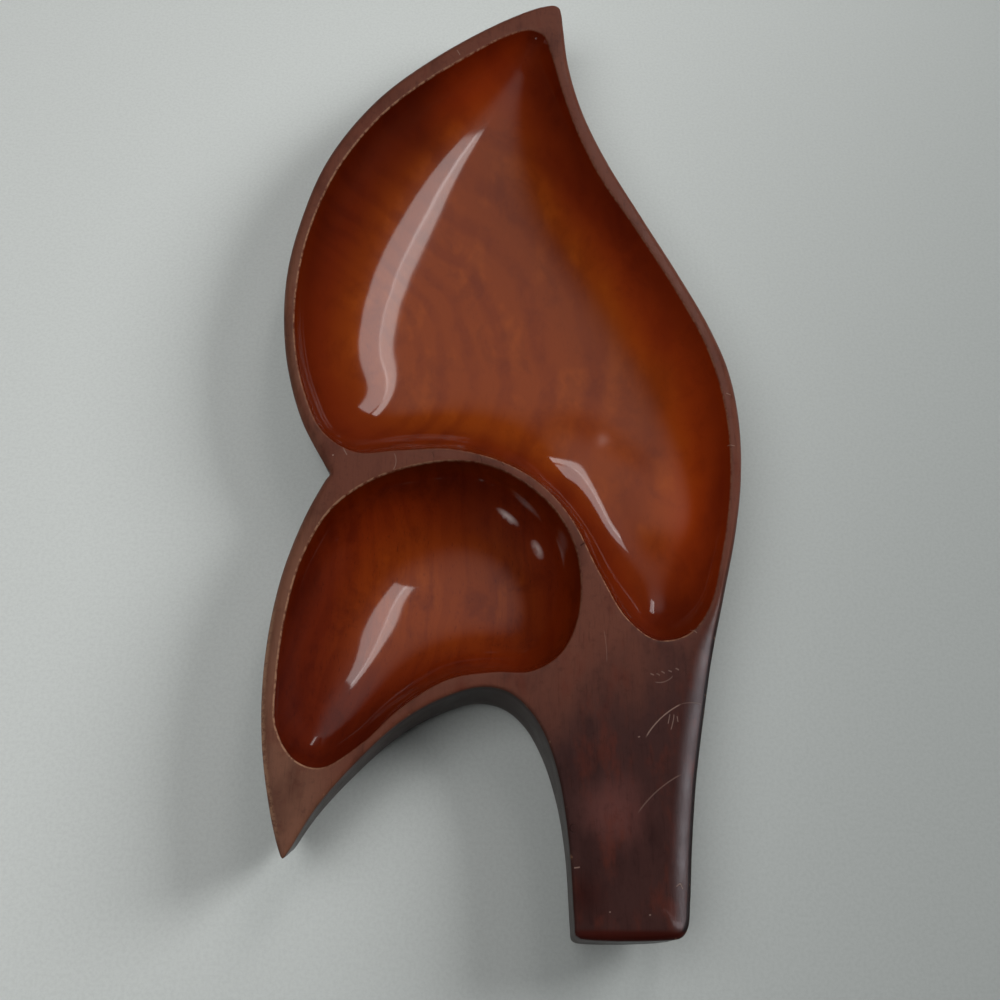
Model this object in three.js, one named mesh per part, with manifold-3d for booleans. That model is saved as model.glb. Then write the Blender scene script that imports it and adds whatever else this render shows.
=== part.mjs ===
import * as THREE from 'three';
import Module from 'manifold-3d';

// Leaf-shaped serving dish carved from one board of hardwood.
// Millimetres, +Z up, +Y towards the leaf tip, origin under the middle of the dish on the table.

// Board
const BOARD_THICKNESS = 32;
const ROUND_SQUASH = 0.85;

// Hollows: depth below the rim, and how far in from the mouth the floor turns level
const LARGE_WELL_DEPTH = 24;
const LARGE_WELL_REACH = 56;
const SMALL_WELL_DEPTH = 22;
const SMALL_WELL_REACH = 36;
const BOWL_FULLNESS = 0.62;

// The small hollow gains this share of its depth a millimetre towards +X and towards +Y
const SMALL_WELL_LEAN = [0.0045, 0.0042];
const LEVEL = [0, 0];

// Handle: its underside rises so that fingers fit between it and the table
const HANDLE_LIFT = 11;
const HANDLE_LIFT_START = -150;
const HANDLE_LIFT_LENGTH = 52;

// Fineness of the facets
const OUTLINE_STEP = 6.2;
const RIM_STEP = 6.4;
const INSET_STEP = 1.2;
const SPREAD_PASSES = 4;
const SETTLE_PASSES = 2;

// A cutting body stands this far above the rim
const LID_CLEARANCE = 2;

// Smallest sum, slope and length that a division meets
const LEAST_SUM = 1e-9;
const LEAST_SLOPE_SQUARED = 0.05;
const LEAST_LENGTH = 1e-6;

// Outline of the board, anticlockwise from the right corner of the handle's end.
// Each row: x, y, width of the soft shoulder, its fall, inward draft of the wall, round under it.
const OUTLINE = [
  [54.5, -228, 4.5, 2.6, 1, 4],
  [58.6, -227, 6, 3.4, 1, 4],
  [61, -223.8, 7.5, 4, 1.2, 4],
  [62.4, -216, 8.6, 4.4, 1.5, 4.5],
  [64.6, -197, 9, 4.6, 2, 5],
  [68, -173, 9, 4.6, 2.4, 7],
  [72.5, -150, 9, 4.5, 3, 9],
  [77.5, -126.5, 7.8, 4, 3.5, 11],
  [84, -101.5, 3.6, 2.6, 4, 12],
  [91, -75, 3, 2.2, 4, 12],
  [96, -49, 3, 2.2, 4, 12],
  [98, -20, 3, 2.2, 4, 12],
  [95.7, 6, 3, 2.2, 4, 12],
  [89, 29, 2.9, 2, 4, 12],
  [77.8, 56, 2.8, 2, 4, 12],
  [62.4, 89.5, 2.8, 1.9, 4, 12],
  [47, 124, 2.8, 1.8, 4, 12],
  [36.5, 155, 2.7, 1.8, 4, 12],
  [30.5, 186, 2.5, 1.7, 4, 12],
  [28.6, 212, 2, 1.5, 4, 12],
  [27.8, 223, 1.5, 1.2, 4, 12],
  [26.9, 227, 1.3, 1.1, 4, 12],
  [24.4, 228.5, 1.3, 1.1, 4, 12],
  [20.5, 227.9, 1.5, 1.2, 4, 12],
  [12.6, 224.5, 2, 1.3, 4, 12],
  [-8, 210.5, 2.6, 1.5, 4, 12],
  [-37, 185, 2.8, 1.6, 4, 12],
  [-63, 155, 2.8, 1.6, 4, 12],
  [-84, 115.5, 2.8, 1.6, 4, 12],
  [-94, 77, 2.8, 1.6, 4, 12],
  [-97.8, 42, 2.8, 1.7, 4, 12],
  [-94.7, 4, 3, 1.9, 4, 12],
  [-85.8, -27.5, 3, 2, 4, 12],
  [-74.6, -49, 2.6, 1.8, 3.4, 12],
  [-72.4, -53, 2.2, 1.7, 3.4, 12],
  [-74, -56, 2.5, 1.8, 3.4, 12],
  [-81, -73, 3.2, 2, 3.6, 12],
  [-88, -99.5, 3.6, 2.2, 4, 12],
  [-91, -131, 4, 2.4, 4, 12],
  [-89.4, -161, 3.4, 2.2, 3.4, 12],
  [-84, -187.5, 2.2, 1.6, 2.8, 11.5],
  [-79.6, -201, 1.4, 1.2, 2.4, 11.5],
  [-78.3, -203.3, 1.3, 1.1, 2.3, 11.5],
  [-76.6, -201.2, 1.3, 1.1, 2.2, 11.5],
  [-68.2, -186, 1.4, 1.1, 1.7, 11.5],
  [-54.6, -169, 1.5, 1.1, 1.2, 11.5],
  [-40, -154.5, 1.5, 1.1, 0.8, 11],
  [-26, -145.7, 1.4, 1, 0.6, 11],
  [-11, -140.7, 1.2, 0.9, 0.6, 11],
  [-1, -142.3, 1.2, 0.9, 0.6, 10],
  [7, -149, 1.2, 0.9, 0.6, 9],
  [13, -159.5, 1.1, 0.9, 0.6, 7],
  [17.5, -175, 1.1, 0.9, 0.6, 5],
  [20.3, -198, 1.1, 0.9, 0.6, 4],
  [21.3, -222, 1.1, 0.9, 0.6, 4],
  [21.7, -227, 1.2, 0.9, 0.6, 4],
  [23.2, -228, 1.3, 1, 0.6, 4],
];

// Mouth of the large hollow, anticlockwise from its top.
// Each row: x, y, softness of the edge.
const LARGE_MOUTH = [
  [11.3, 208.5, 1.6],
  [-1, 203, 0.8],
  [-24, 183.7, 0.5],
  [-44, 164.5, 0.5],
  [-62, 142, 0.5],
  [-79, 109.5, 0.5],
  [-89, 75, 0.5],
  [-92.8, 43, 0.5],
  [-91.8, 13, 0.5],
  [-86, -13.5, 0.5],
  [-76.5, -34, 0.6],
  [-63, -43, 1.8],
  [-45, -41.5, 2],
  [-24, -40, 1.6],
  [-4, -44.7, 0.9],
  [12, -54.2, 0.5],
  [24.5, -69.5, 0.5],
  [35, -93, 0.6],
  [45, -112, 0.6],
  [56, -120.4, 0.6],
  [68, -118, 1.8],
  [77, -107.5, 2.2],
  [84.5, -84, 2],
  [91, -51, 1.8],
  [92.3, -17, 1.8],
  [87, 15.5, 1.8],
  [75, 47, 1.8],
  [58, 83, 1.8],
  [43.5, 112, 1.8],
  [33.5, 140, 1.8],
  [27, 166.5, 1.8],
  [21.5, 194, 1.8],
  [18, 205.7, 1.8],
];
const LARGE_MIDDLE = [12, 28];

// Mouth of the small hollow, anticlockwise from its top.
const SMALL_MOUTH = [
  [-20, -45.2, 0.5],
  [-38, -48, 0.5],
  [-57, -56.5, 0.5],
  [-71, -69.5, 0.5],
  [-80, -89, 0.5],
  [-84.5, -111, 0.5],
  [-86, -140, 0.5],
  [-84.5, -158, 0.5],
  [-77, -169.5, 0.8],
  [-67.5, -172.2, 2],
  [-53, -162.6, 1.8],
  [-40, -149.5, 1.4],
  [-23, -138.3, 1.2],
  [-6, -135, 1.2],
  [8, -134.2, 1.4],
  [19, -127, 1.6],
  [25.5, -114, 1.6],
  [27.6, -98, 1.4],
  [25.5, -81, 1],
  [18, -66, 0.8],
  [6, -54.2, 0.8],
  [-7, -47.3, 0.6],
];
const SMALL_MIDDLE = [-28, -96];

// Share of the shoulder's width and of its fall at each ring, from the flat top to the wall,
// then the shares of the wall's height at its rings, and the steps of the round under it.
const SHOULDER_STEPS = [
  [1, 0],
  [0.62, 0.17],
  [0.25, 0.46],
  [0.07, 0.76],
];
const WALL_STEPS = [0.5, 1];
const UNDER_ROUND_STEPS = 4;

// Distances in from the mouth at which the wall of a hollow gets a ring of points.
const WALL_RINGS = [0.5, 1.3, 2.8, 5.2, 8.6, 13, 18.5];
// Shares of the way from the last wall ring to the middle of the floor.
const FLOOR_RINGS = [0.2, 0.4, 0.6, 0.8];

const clamp = (value) => Math.min(1, Math.max(0, value));

function ease(value) {
  const t = clamp(value);
  return t * t * (3 - 2 * t);
}

// Closed smooth loop through the rows; every row is a corner of the loop and long spans are divided.
function sampleLoop(rows, step) {
  const count = rows.length;
  const corners = rows.map((row) => new THREE.Vector3(row[0], row[1], 0));
  const curve = new THREE.CatmullRomCurve3(corners, true, 'centripetal');
  const loop = [];
  for (let i = 0; i < count; i += 1) {
    const here = rows[i];
    const next = rows[(i + 1) % count];
    const span = corners[i].distanceTo(corners[(i + 1) % count]);
    const pieces = Math.max(1, Math.round(span / step));
    for (let k = 0; k < pieces; k += 1) {
      const share = k / pieces;
      const at = curve.getPoint((i + share) / count);
      const sizes = here.slice(2).map((size, j) => size + (next[j + 2] - size) * share);
      loop.push({ x: at.x, y: at.y, sizes });
    }
  }
  return loop;
}

// Smooth distance from a point to a closed loop around it: the inverse square of the range to the
// loop is added up over every direction, so ridges and tips come out rounded instead of creased.
function smoothDistance(x, y, loop) {
  const seriesLimit = 0.25;
  let sum = 0;
  for (let i = 0; i < loop.length; i += 1) {
    const a = loop[i];
    const b = loop[(i + 1) % loop.length];
    const ax = a.x - x;
    const ay = a.y - y;
    const bx = b.x - x;
    const by = b.y - y;
    const turn = Math.atan2(ax * by - ay * bx, ax * bx + ay * by);
    const nearA = 1 / Math.hypot(ax, ay);
    const nearB = 1 / Math.hypot(bx, by);
    if (Math.abs(turn) < seriesLimit) {
      sum += (turn * (nearA * nearA + nearA * nearB + nearB * nearB)) / 3;
    } else {
      const sine = Math.sin(turn);
      const cosine = Math.cos(turn);
      const squares = ((nearA * nearA + nearB * nearB) * (turn - sine * cosine)) / 2;
      sum += (squares + nearA * nearB * (sine - turn * cosine)) / (sine * sine);
    }
  }
  return Math.sqrt(Math.PI / (2 * Math.max(sum, LEAST_SUM)));
}

// Moves a point straight up the slope of the smooth distance until that distance is the wanted one.
function settle(point, wanted, loop) {
  const probe = 0.02;
  for (let pass = 0; pass < SETTLE_PASSES; pass += 1) {
    const here = smoothDistance(point.x, point.y, loop);
    const slopeX = (smoothDistance(point.x + probe, point.y, loop) - here) / probe;
    const slopeY = (smoothDistance(point.x, point.y + probe, loop) - here) / probe;
    const size = Math.max(slopeX * slopeX + slopeY * slopeY, LEAST_SLOPE_SQUARED);
    point.x += ((wanted - here) * slopeX) / size;
    point.y += ((wanted - here) * slopeY) / size;
  }
}

// Slides the points of a ring along it, half of the way to even spacing.
function spread(ring) {
  const strength = 0.5;
  const moved = ring.map((point, i) => {
    const before = ring[(i + ring.length - 1) % ring.length];
    const after = ring[(i + 1) % ring.length];
    const alongX = after.x - before.x;
    const alongY = after.y - before.y;
    const length = Math.max(Math.hypot(alongX, alongY), LEAST_LENGTH);
    const midX = (before.x + after.x) / 2 - point.x;
    const midY = (before.y + after.y) / 2 - point.y;
    const slide = (strength * (midX * alongX + midY * alongY)) / (length * length);
    return { x: point.x + slide * alongX, y: point.y + slide * alongY };
  });
  ring.forEach((point, i) => {
    point.x = moved[i].x;
    point.y = moved[i].y;
  });
}

// Ring of points inside a loop, each at its own smooth distance from it.
function insetLoop(loop, depths) {
  const deepest = Math.max(...depths);
  const steps = Math.max(1, Math.ceil(deepest / INSET_STEP));
  const firstPush = 0.35;
  const ring = loop.map((point, i) => {
    const before = loop[(i + loop.length - 1) % loop.length];
    const after = loop[(i + 1) % loop.length];
    const alongX = after.x - before.x;
    const alongY = after.y - before.y;
    const push = Math.min(firstPush, depths[i] / steps) / Math.hypot(alongX, alongY);
    return { x: point.x - alongY * push, y: point.y + alongX * push };
  });
  for (let step = 1; step <= steps; step += 1) {
    const share = step / steps;
    ring.forEach((point, i) => settle(point, depths[i] * share, loop));
    for (let pass = 0; pass < SPREAD_PASSES && step > 1; pass += 1) {
      spread(ring);
    }
    ring.forEach((point, i) => settle(point, depths[i] * share, loop));
  }
  return ring;
}

function withHeights(ring, heightOf) {
  return ring.map((point, i) => [point.x, point.y, heightOf(point, i)]);
}

// Closed body from rings stacked downwards, with given faces over the first and the last ring.
function stackRings(rings, extraPoints, topFaces, bottomFaces) {
  const count = rings[0].length;
  const points = [...rings.flat(), ...extraPoints];
  const faces = [];
  for (let level = 0; level + 1 < rings.length; level += 1) {
    for (let i = 0; i < count; i += 1) {
      const a = level * count + i;
      const b = level * count + ((i + 1) % count);
      faces.push([b, a, a + count]);
      faces.push([b, a + count, b + count]);
    }
  }
  const lowest = (rings.length - 1) * count;
  topFaces.forEach((face) => faces.push(face));
  bottomFaces.forEach((face) => faces.push(face.map((index) => index + lowest)));
  return { points, faces };
}

function flatFaces(ring) {
  const contour = ring.map((point) => new THREE.Vector2(point[0], point[1]));
  return THREE.ShapeUtils.triangulateShape(contour, []);
}

// The handle's underside climbs away from the table towards its end.
function liftAt(x, y) {
  return x > 0 ? HANDLE_LIFT * ease((HANDLE_LIFT_START - y) / HANDLE_LIFT_LENGTH) : 0;
}

// Underside faces: rows across the lifted handle first, then the flat foot of the dish.
function undersideFaces(ring) {
  const count = ring.length;
  const lifted = ring.map((point) => point[2] > 0);
  const start = lifted.findIndex((up, i) => up && !lifted[(i + count - 1) % count]);
  const first = (start + count - 1) % count;
  let last = first + 1;
  while (lifted[last % count]) {
    last += 1;
  }
  const faces = [];
  let left = first;
  let right = last;
  while (right - left > 1) {
    const leftIsHigher = ring[(left + 1) % count][1] > ring[(right - 1) % count][1];
    const next = leftIsHigher ? left + 1 : right - 1;
    faces.push([left % count, right % count, next % count]);
    if (leftIsHigher) {
      left = next;
    } else {
      right = next;
    }
  }
  const foot = [];
  for (let i = last; i <= first + count; i += 1) {
    foot.push(i % count);
  }
  flatFaces(foot.map((index) => ring[index])).forEach((face) => {
    faces.push([foot[face[2]], foot[face[1]], foot[face[0]]]);
  });
  return faces;
}

// The board with its soft shoulder, drafted wall and rounded underside.
function makeBlank() {
  const outline = sampleLoop(OUTLINE, OUTLINE_STEP);
  const size = (column) => outline.map((point) => point.sizes[column]);
  const [shoulder, fall, draft, round] = [size(0), size(1), size(2), size(3)];
  const rings = SHOULDER_STEPS.map(([widthShare, fallShare]) => {
    const ring = insetLoop(outline, shoulder.map((width) => width * widthShare));
    return withHeights(ring, (point, i) => BOARD_THICKNESS - fall[i] * fallShare);
  });
  rings.push(withHeights(outline, (point, i) => BOARD_THICKNESS - fall[i]));
  for (const share of WALL_STEPS) {
    const ring = insetLoop(outline, draft.map((inward) => inward * share));
    rings.push(withHeights(ring, (point, i) => {
      const low = liftAt(point.x, point.y) + round[i];
      const high = BOARD_THICKNESS - fall[i];
      return high + (low - high) * share;
    }));
  }
  for (let k = 1; k <= UNDER_ROUND_STEPS; k += 1) {
    const angle = (k / UNDER_ROUND_STEPS) * (Math.PI / 2);
    const inward = ROUND_SQUASH * (1 - Math.cos(angle));
    const ring = insetLoop(outline, draft.map((base, i) => base + round[i] * inward));
    const up = k === UNDER_ROUND_STEPS ? 0 : 1 - Math.sin(angle);
    rings.push(withHeights(ring, (point, i) => liftAt(point.x, point.y) + round[i] * up));
  }
  return stackRings(rings, [], flatFaces(rings[0]), undersideFaces(rings[rings.length - 1]));
}

// A carved hollow as the body to be cut away: the smooth distance from the mouth sets the depth.
function makeWell(mouthRows, middle, depth, reach, lean) {
  const mouth = sampleLoop(mouthRows, RIM_STEP);
  const softness = mouth.map((point) => point.sizes[0]);
  const carved = (x, y, soft) => {
    const distance = smoothDistance(x, y, mouth);
    const inward = clamp((distance * distance) / (distance + soft) / reach);
    const leaning = 1 + lean[0] * (x - middle[0]) + lean[1] * (y - middle[1]);
    return BOARD_THICKNESS - depth * leaning * (1 - (1 - inward) ** 2) ** BOWL_FULLNESS;
  };
  const rings = [
    withHeights(mouth, () => BOARD_THICKNESS + LID_CLEARANCE),
    withHeights(mouth, () => BOARD_THICKNESS),
  ];
  let wall = mouth;
  for (const distance of WALL_RINGS) {
    wall = insetLoop(mouth, mouth.map(() => distance));
    rings.push(withHeights(wall, (point, i) => carved(point.x, point.y, softness[i])));
  }
  for (const share of FLOOR_RINGS) {
    const ring = wall.map((point) => ({
      x: point.x + (middle[0] - point.x) * share,
      y: point.y + (middle[1] - point.y) * share,
    }));
    rings.push(withHeights(ring, (point) => carved(point.x, point.y, 1)));
  }
  const bottom = [middle[0], middle[1], carved(middle[0], middle[1], 1)];
  const count = mouth.length;
  const fan = mouth.map((point, i) => [(i + 1) % count, i, count]);
  return stackRings(rings, [bottom], flatFaces(rings[0]), fan);
}

const wasm = await Module();
wasm.setup();

function toManifold(body) {
  return new wasm.Manifold(new wasm.Mesh({
    numProp: 3,
    vertProperties: new Float32Array(body.points.flat()),
    triVerts: new Uint32Array(body.faces.flat()),
  }));
}

function toGeometry(manifold) {
  const result = manifold.getMesh();
  const geometry = new THREE.BufferGeometry();
  geometry.setAttribute('position', new THREE.BufferAttribute(new Float32Array(result.vertProperties), 3));
  geometry.setIndex(new THREE.BufferAttribute(new Uint32Array(result.triVerts), 1));
  geometry.computeVertexNormals();
  return geometry;
}

const board = toManifold(makeBlank());
const largeWell = makeWell(LARGE_MOUTH, LARGE_MIDDLE, LARGE_WELL_DEPTH, LARGE_WELL_REACH, LEVEL);
const smallWell = makeWell(SMALL_MOUTH, SMALL_MIDDLE, SMALL_WELL_DEPTH, SMALL_WELL_REACH, SMALL_WELL_LEAN);
const carvedDish = board.subtract(toManifold(largeWell)).subtract(toManifold(smallWell));

const wood = new THREE.MeshStandardMaterial({ color: 0x6b3520, roughness: 0.35, metalness: 0 });
const dish = new THREE.Mesh(toGeometry(carvedDish), wood);
dish.name = 'carved_dish';

const group = new THREE.Group();
group.name = 'leaf_dish';
group.add(dish);

export default group;
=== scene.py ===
"""Leaf-shaped serving dish: one board of hardwood, carved, lacquered and worn, in a plain studio."""

from __future__ import annotations

import logging
import math
from dataclasses import dataclass, field
from enum import Enum
from typing import Callable, Iterator, Sequence

import bpy
import numpy as np
from mathutils import Matrix, Vector
from mathutils.geometry import delaunay_2d_cdt


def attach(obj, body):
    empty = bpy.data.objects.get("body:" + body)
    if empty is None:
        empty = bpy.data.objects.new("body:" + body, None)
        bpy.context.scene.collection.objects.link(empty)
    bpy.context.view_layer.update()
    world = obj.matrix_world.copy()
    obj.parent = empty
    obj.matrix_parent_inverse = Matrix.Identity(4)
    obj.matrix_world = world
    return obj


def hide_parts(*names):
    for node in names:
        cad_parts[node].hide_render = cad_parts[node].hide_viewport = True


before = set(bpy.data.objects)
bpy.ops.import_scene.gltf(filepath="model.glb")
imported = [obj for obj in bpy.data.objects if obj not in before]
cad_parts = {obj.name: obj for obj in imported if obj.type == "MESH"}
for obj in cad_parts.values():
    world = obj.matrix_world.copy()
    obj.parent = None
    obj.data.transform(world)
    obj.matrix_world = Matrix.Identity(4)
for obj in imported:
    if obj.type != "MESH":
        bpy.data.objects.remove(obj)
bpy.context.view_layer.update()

LOG = logging.getLogger("leaf_dish")

# Factor on the spacing of the meshes' points; above 1 the meshes are coarser
COARSE = 1.0

MM = 0.001

# What the distances that points carry say where an edge is nowhere near, in millimetres
FAR = 20.0

# Least divisor, so that nothing is divided by zero
TINY = 1e-6

# Places measured at a time, so that the table of their ranges fits in memory
BLOCK = 1500

Colour = tuple[float, float, float]
Place = tuple[float, float, float]
Span = tuple[float, float]
Borders = tuple[float, float, float, float]

# Outline of the board, anticlockwise from the right corner of the handle's end, in millimetres.
# Each row: x, y, width of the soft shoulder, its fall, inward draft of the wall, round under it.
OUTLINE_ROWS = (
    (54.5, -228, 4.5, 2.6, 1, 4),
    (58.6, -227, 6, 3.4, 1, 4),
    (61, -223.8, 7.5, 4, 1.2, 4),
    (62.4, -216, 8.6, 4.4, 1.5, 4.5),
    (64.6, -197, 9, 4.6, 2, 5),
    (68, -173, 9, 4.6, 2.4, 7),
    (72.5, -150, 9, 4.5, 3, 9),
    (77.5, -126.5, 7.8, 4, 3.5, 11),
    (84, -101.5, 3.6, 2.6, 4, 12),
    (91, -75, 3, 2.2, 4, 12),
    (96, -49, 3, 2.2, 4, 12),
    (98, -20, 3, 2.2, 4, 12),
    (95.7, 6, 3, 2.2, 4, 12),
    (89, 29, 2.9, 2, 4, 12),
    (77.8, 56, 2.8, 2, 4, 12),
    (62.4, 89.5, 2.8, 1.9, 4, 12),
    (47, 124, 2.8, 1.8, 4, 12),
    (36.5, 155, 2.7, 1.8, 4, 12),
    (30.5, 186, 2.5, 1.7, 4, 12),
    (28.6, 212, 2, 1.5, 4, 12),
    (27.8, 223, 1.5, 1.2, 4, 12),
    (26.9, 227, 1.3, 1.1, 4, 12),
    (24.4, 228.5, 1.3, 1.1, 4, 12),
    (20.5, 227.9, 1.5, 1.2, 4, 12),
    (12.6, 224.5, 2, 1.3, 4, 12),
    (-8, 210.5, 2.6, 1.5, 4, 12),
    (-37, 185, 2.8, 1.6, 4, 12),
    (-63, 155, 2.8, 1.6, 4, 12),
    (-84, 115.5, 2.8, 1.6, 4, 12),
    (-94, 77, 2.8, 1.6, 4, 12),
    (-97.8, 42, 2.8, 1.7, 4, 12),
    (-94.7, 4, 3, 1.9, 4, 12),
    (-85.8, -27.5, 3, 2, 4, 12),
    (-74.6, -49, 2.6, 1.8, 3.4, 12),
    (-72.4, -53, 2.2, 1.7, 3.4, 12),
    (-74, -56, 2.5, 1.8, 3.4, 12),
    (-81, -73, 3.2, 2, 3.6, 12),
    (-88, -99.5, 3.6, 2.2, 4, 12),
    (-91, -131, 4, 2.4, 4, 12),
    (-89.4, -161, 3.4, 2.2, 3.4, 12),
    (-84, -187.5, 2.2, 1.6, 2.8, 11.5),
    (-79.6, -201, 1.4, 1.2, 2.4, 11.5),
    (-78.3, -203.3, 1.3, 1.1, 2.3, 11.5),
    (-76.6, -201.2, 1.3, 1.1, 2.2, 11.5),
    (-68.2, -186, 1.4, 1.1, 1.7, 11.5),
    (-54.6, -169, 1.5, 1.1, 1.2, 11.5),
    (-40, -154.5, 1.5, 1.1, 0.8, 11),
    (-26, -145.7, 1.4, 1, 0.6, 11),
    (-11, -140.7, 1.2, 0.9, 0.6, 11),
    (-1, -142.3, 1.2, 0.9, 0.6, 10),
    (7, -149, 1.2, 0.9, 0.6, 9),
    (13, -159.5, 1.1, 0.9, 0.6, 7),
    (17.5, -175, 1.1, 0.9, 0.6, 5),
    (20.3, -198, 1.1, 0.9, 0.6, 4),
    (21.3, -222, 1.1, 0.9, 0.6, 4),
    (21.7, -227, 1.2, 0.9, 0.6, 4),
    (23.2, -228, 1.3, 1, 0.6, 4),
)

# Mouths of the two hollows, anticlockwise from their tops.
# Each row: x, y, softness of the edge, how bare its arris is rubbed; that last column also paints the
# arris's highlight, strongest on the left sides.
LARGE_MOUTH_ROWS = (
    (11.3, 208.5, 1.6, 0.25),
    (-1, 203, 0.8, 0.6),
    (-24, 183.7, 0.5, 0.85),
    (-44, 164.5, 0.5, 0.9),
    (-62, 142, 0.5, 0.85),
    (-79, 109.5, 0.5, 0.9),
    (-89, 75, 0.5, 0.95),
    (-92.8, 43, 0.5, 0.9),
    (-91.8, 13, 0.5, 0.8),
    (-86, -13.5, 0.5, 0.6),
    (-76.5, -34, 0.6, 0.3),
    (-63, -43, 1.8, 0.05),
    (-45, -41.5, 2, 0.1),
    (-24, -40, 1.6, 0.3),
    (-4, -44.7, 0.9, 0.8),
    (12, -54.2, 0.5, 0.75),
    (24.5, -69.5, 0.5, 0.7),
    (35, -93, 0.6, 1.0),
    (45, -112, 0.6, 1.1),
    (56, -120.4, 0.6, 1.15),
    (68, -118, 1.8, 0.5),
    (77, -107.5, 2.2, 0.15),
    (84.5, -84, 2, 0.2),
    (91, -51, 1.8, 0.3),
    (92.3, -17, 1.8, 0.35),
    (87, 15.5, 1.8, 0.35),
    (75, 47, 1.8, 0.3),
    (58, 83, 1.8, 0.3),
    (43.5, 112, 1.8, 0.3),
    (33.5, 140, 1.8, 0.25),
    (27, 166.5, 1.8, 0.15),
    (21.5, 194, 1.8, 0.1),
    (18, 205.7, 1.8, 0.15),
)
SMALL_MOUTH_ROWS = (
    (-20, -45.2, 0.5, 0.35),
    (-38, -48, 0.5, 0.7),
    (-57, -56.5, 0.5, 0.85),
    (-71, -69.5, 0.5, 0.9),
    (-80, -89, 0.5, 0.95),
    (-84.5, -111, 0.5, 1.0),
    (-86, -140, 0.5, 1.0),
    (-84.5, -158, 0.5, 1.1),
    (-77, -169.5, 0.8, 1.3),
    (-67.5, -172.2, 2, 0.5),
    (-53, -162.6, 1.8, 0.1),
    (-40, -149.5, 1.4, 0.1),
    (-23, -138.3, 1.2, 0.1),
    (-6, -135, 1.2, 0.05),
    (8, -134.2, 1.4, 0.05),
    (19, -127, 1.6, 0.1),
    (25.5, -114, 1.6, 0.15),
    (27.6, -98, 1.4, 0.2),
    (25.5, -81, 1, 0.25),
    (18, -66, 0.8, 0.4),
    (6, -54.2, 0.8, 0.3),
    (-7, -47.3, 0.6, 0.2),
)


class Field(Enum):
    """Names of the values that each point carries: lengths in millimetres, and shares from 0 to 1."""

    MOUTH = "mouth_distance"
    SOFTNESS = "edge_softness"
    LARGE = "in_large_hollow"
    SMALL = "in_small_hollow"
    EDGE = "edge_distance"
    ARRIS = "arris_wear"
    TOP = "top_face"


Values = dict[Field, np.ndarray | float]


@dataclass
class ClosedCurve:
    """A closed smooth line through given rows of a point and the sizes that go with it.

    Attributes:
        rows: the rows, anticlockwise.
        step: wanted distance between the points of the line, in millimetres.
    """

    rows: Sequence[Sequence[float]]
    step: float

    def sample(self) -> np.ndarray:
        """Divides the line evenly between its rows.

        Returns:
            One row a point: x, y, and the sizes between those of the two nearest rows.
        """
        rows = np.array(self.rows, float)
        count = len(rows)
        pieces = []
        for i in range(count):
            before, here, after, beyond = (rows[(i + k) % count] for k in (-1, 0, 1, 2))
            pieces.append(self._span(before, here, after, beyond))
        return np.concatenate(pieces)

    def _span(
        self,
        before: np.ndarray,
        here: np.ndarray,
        after: np.ndarray,
        beyond: np.ndarray,
    ) -> np.ndarray:
        """Points from one row up to the next, on a centripetal spline.

        Args:
            before: the row before the span.
            here: the row that it starts at.
            after: the row that it ends at.
            beyond: the row after that.

        Returns:
            The points of the span, without its end.
        """
        spans = ((before, here), (here, after), (after, beyond))
        first, middle, last = (max(math.sqrt(math.dist(a[:2], b[:2])), TINY) for a, b in spans)
        p0, p1, p2, p3 = before[:2], here[:2], after[:2], beyond[:2]
        leave = (p1 - p0) / first - (p2 - p0) / (first + middle) + (p2 - p1) / middle
        arrive = (p2 - p1) / middle - (p3 - p1) / (middle + last) + (p3 - p2) / last
        leave = leave * middle
        arrive = arrive * middle
        steps = max(1, round(math.dist(p1, p2) / self.step))
        share = (np.arange(steps) / steps)[:, None]
        square = -3 * p1 + 3 * p2 - 2 * leave - arrive
        cube = 2 * p1 - 2 * p2 + leave + arrive
        places = p1 + leave * share + square * share**2 + cube * share**3
        sizes = here[2:] + (after[2:] - here[2:]) * share
        return np.hstack([places, sizes])


def blocks(total: int) -> Iterator[slice]:
    """Cuts a long row of places into blocks.

    Args:
        total: how many places there are.

    Yields:
        The slice of each block.
    """
    for first in range(0, total, BLOCK):
        yield slice(first, first + BLOCK)


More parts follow.
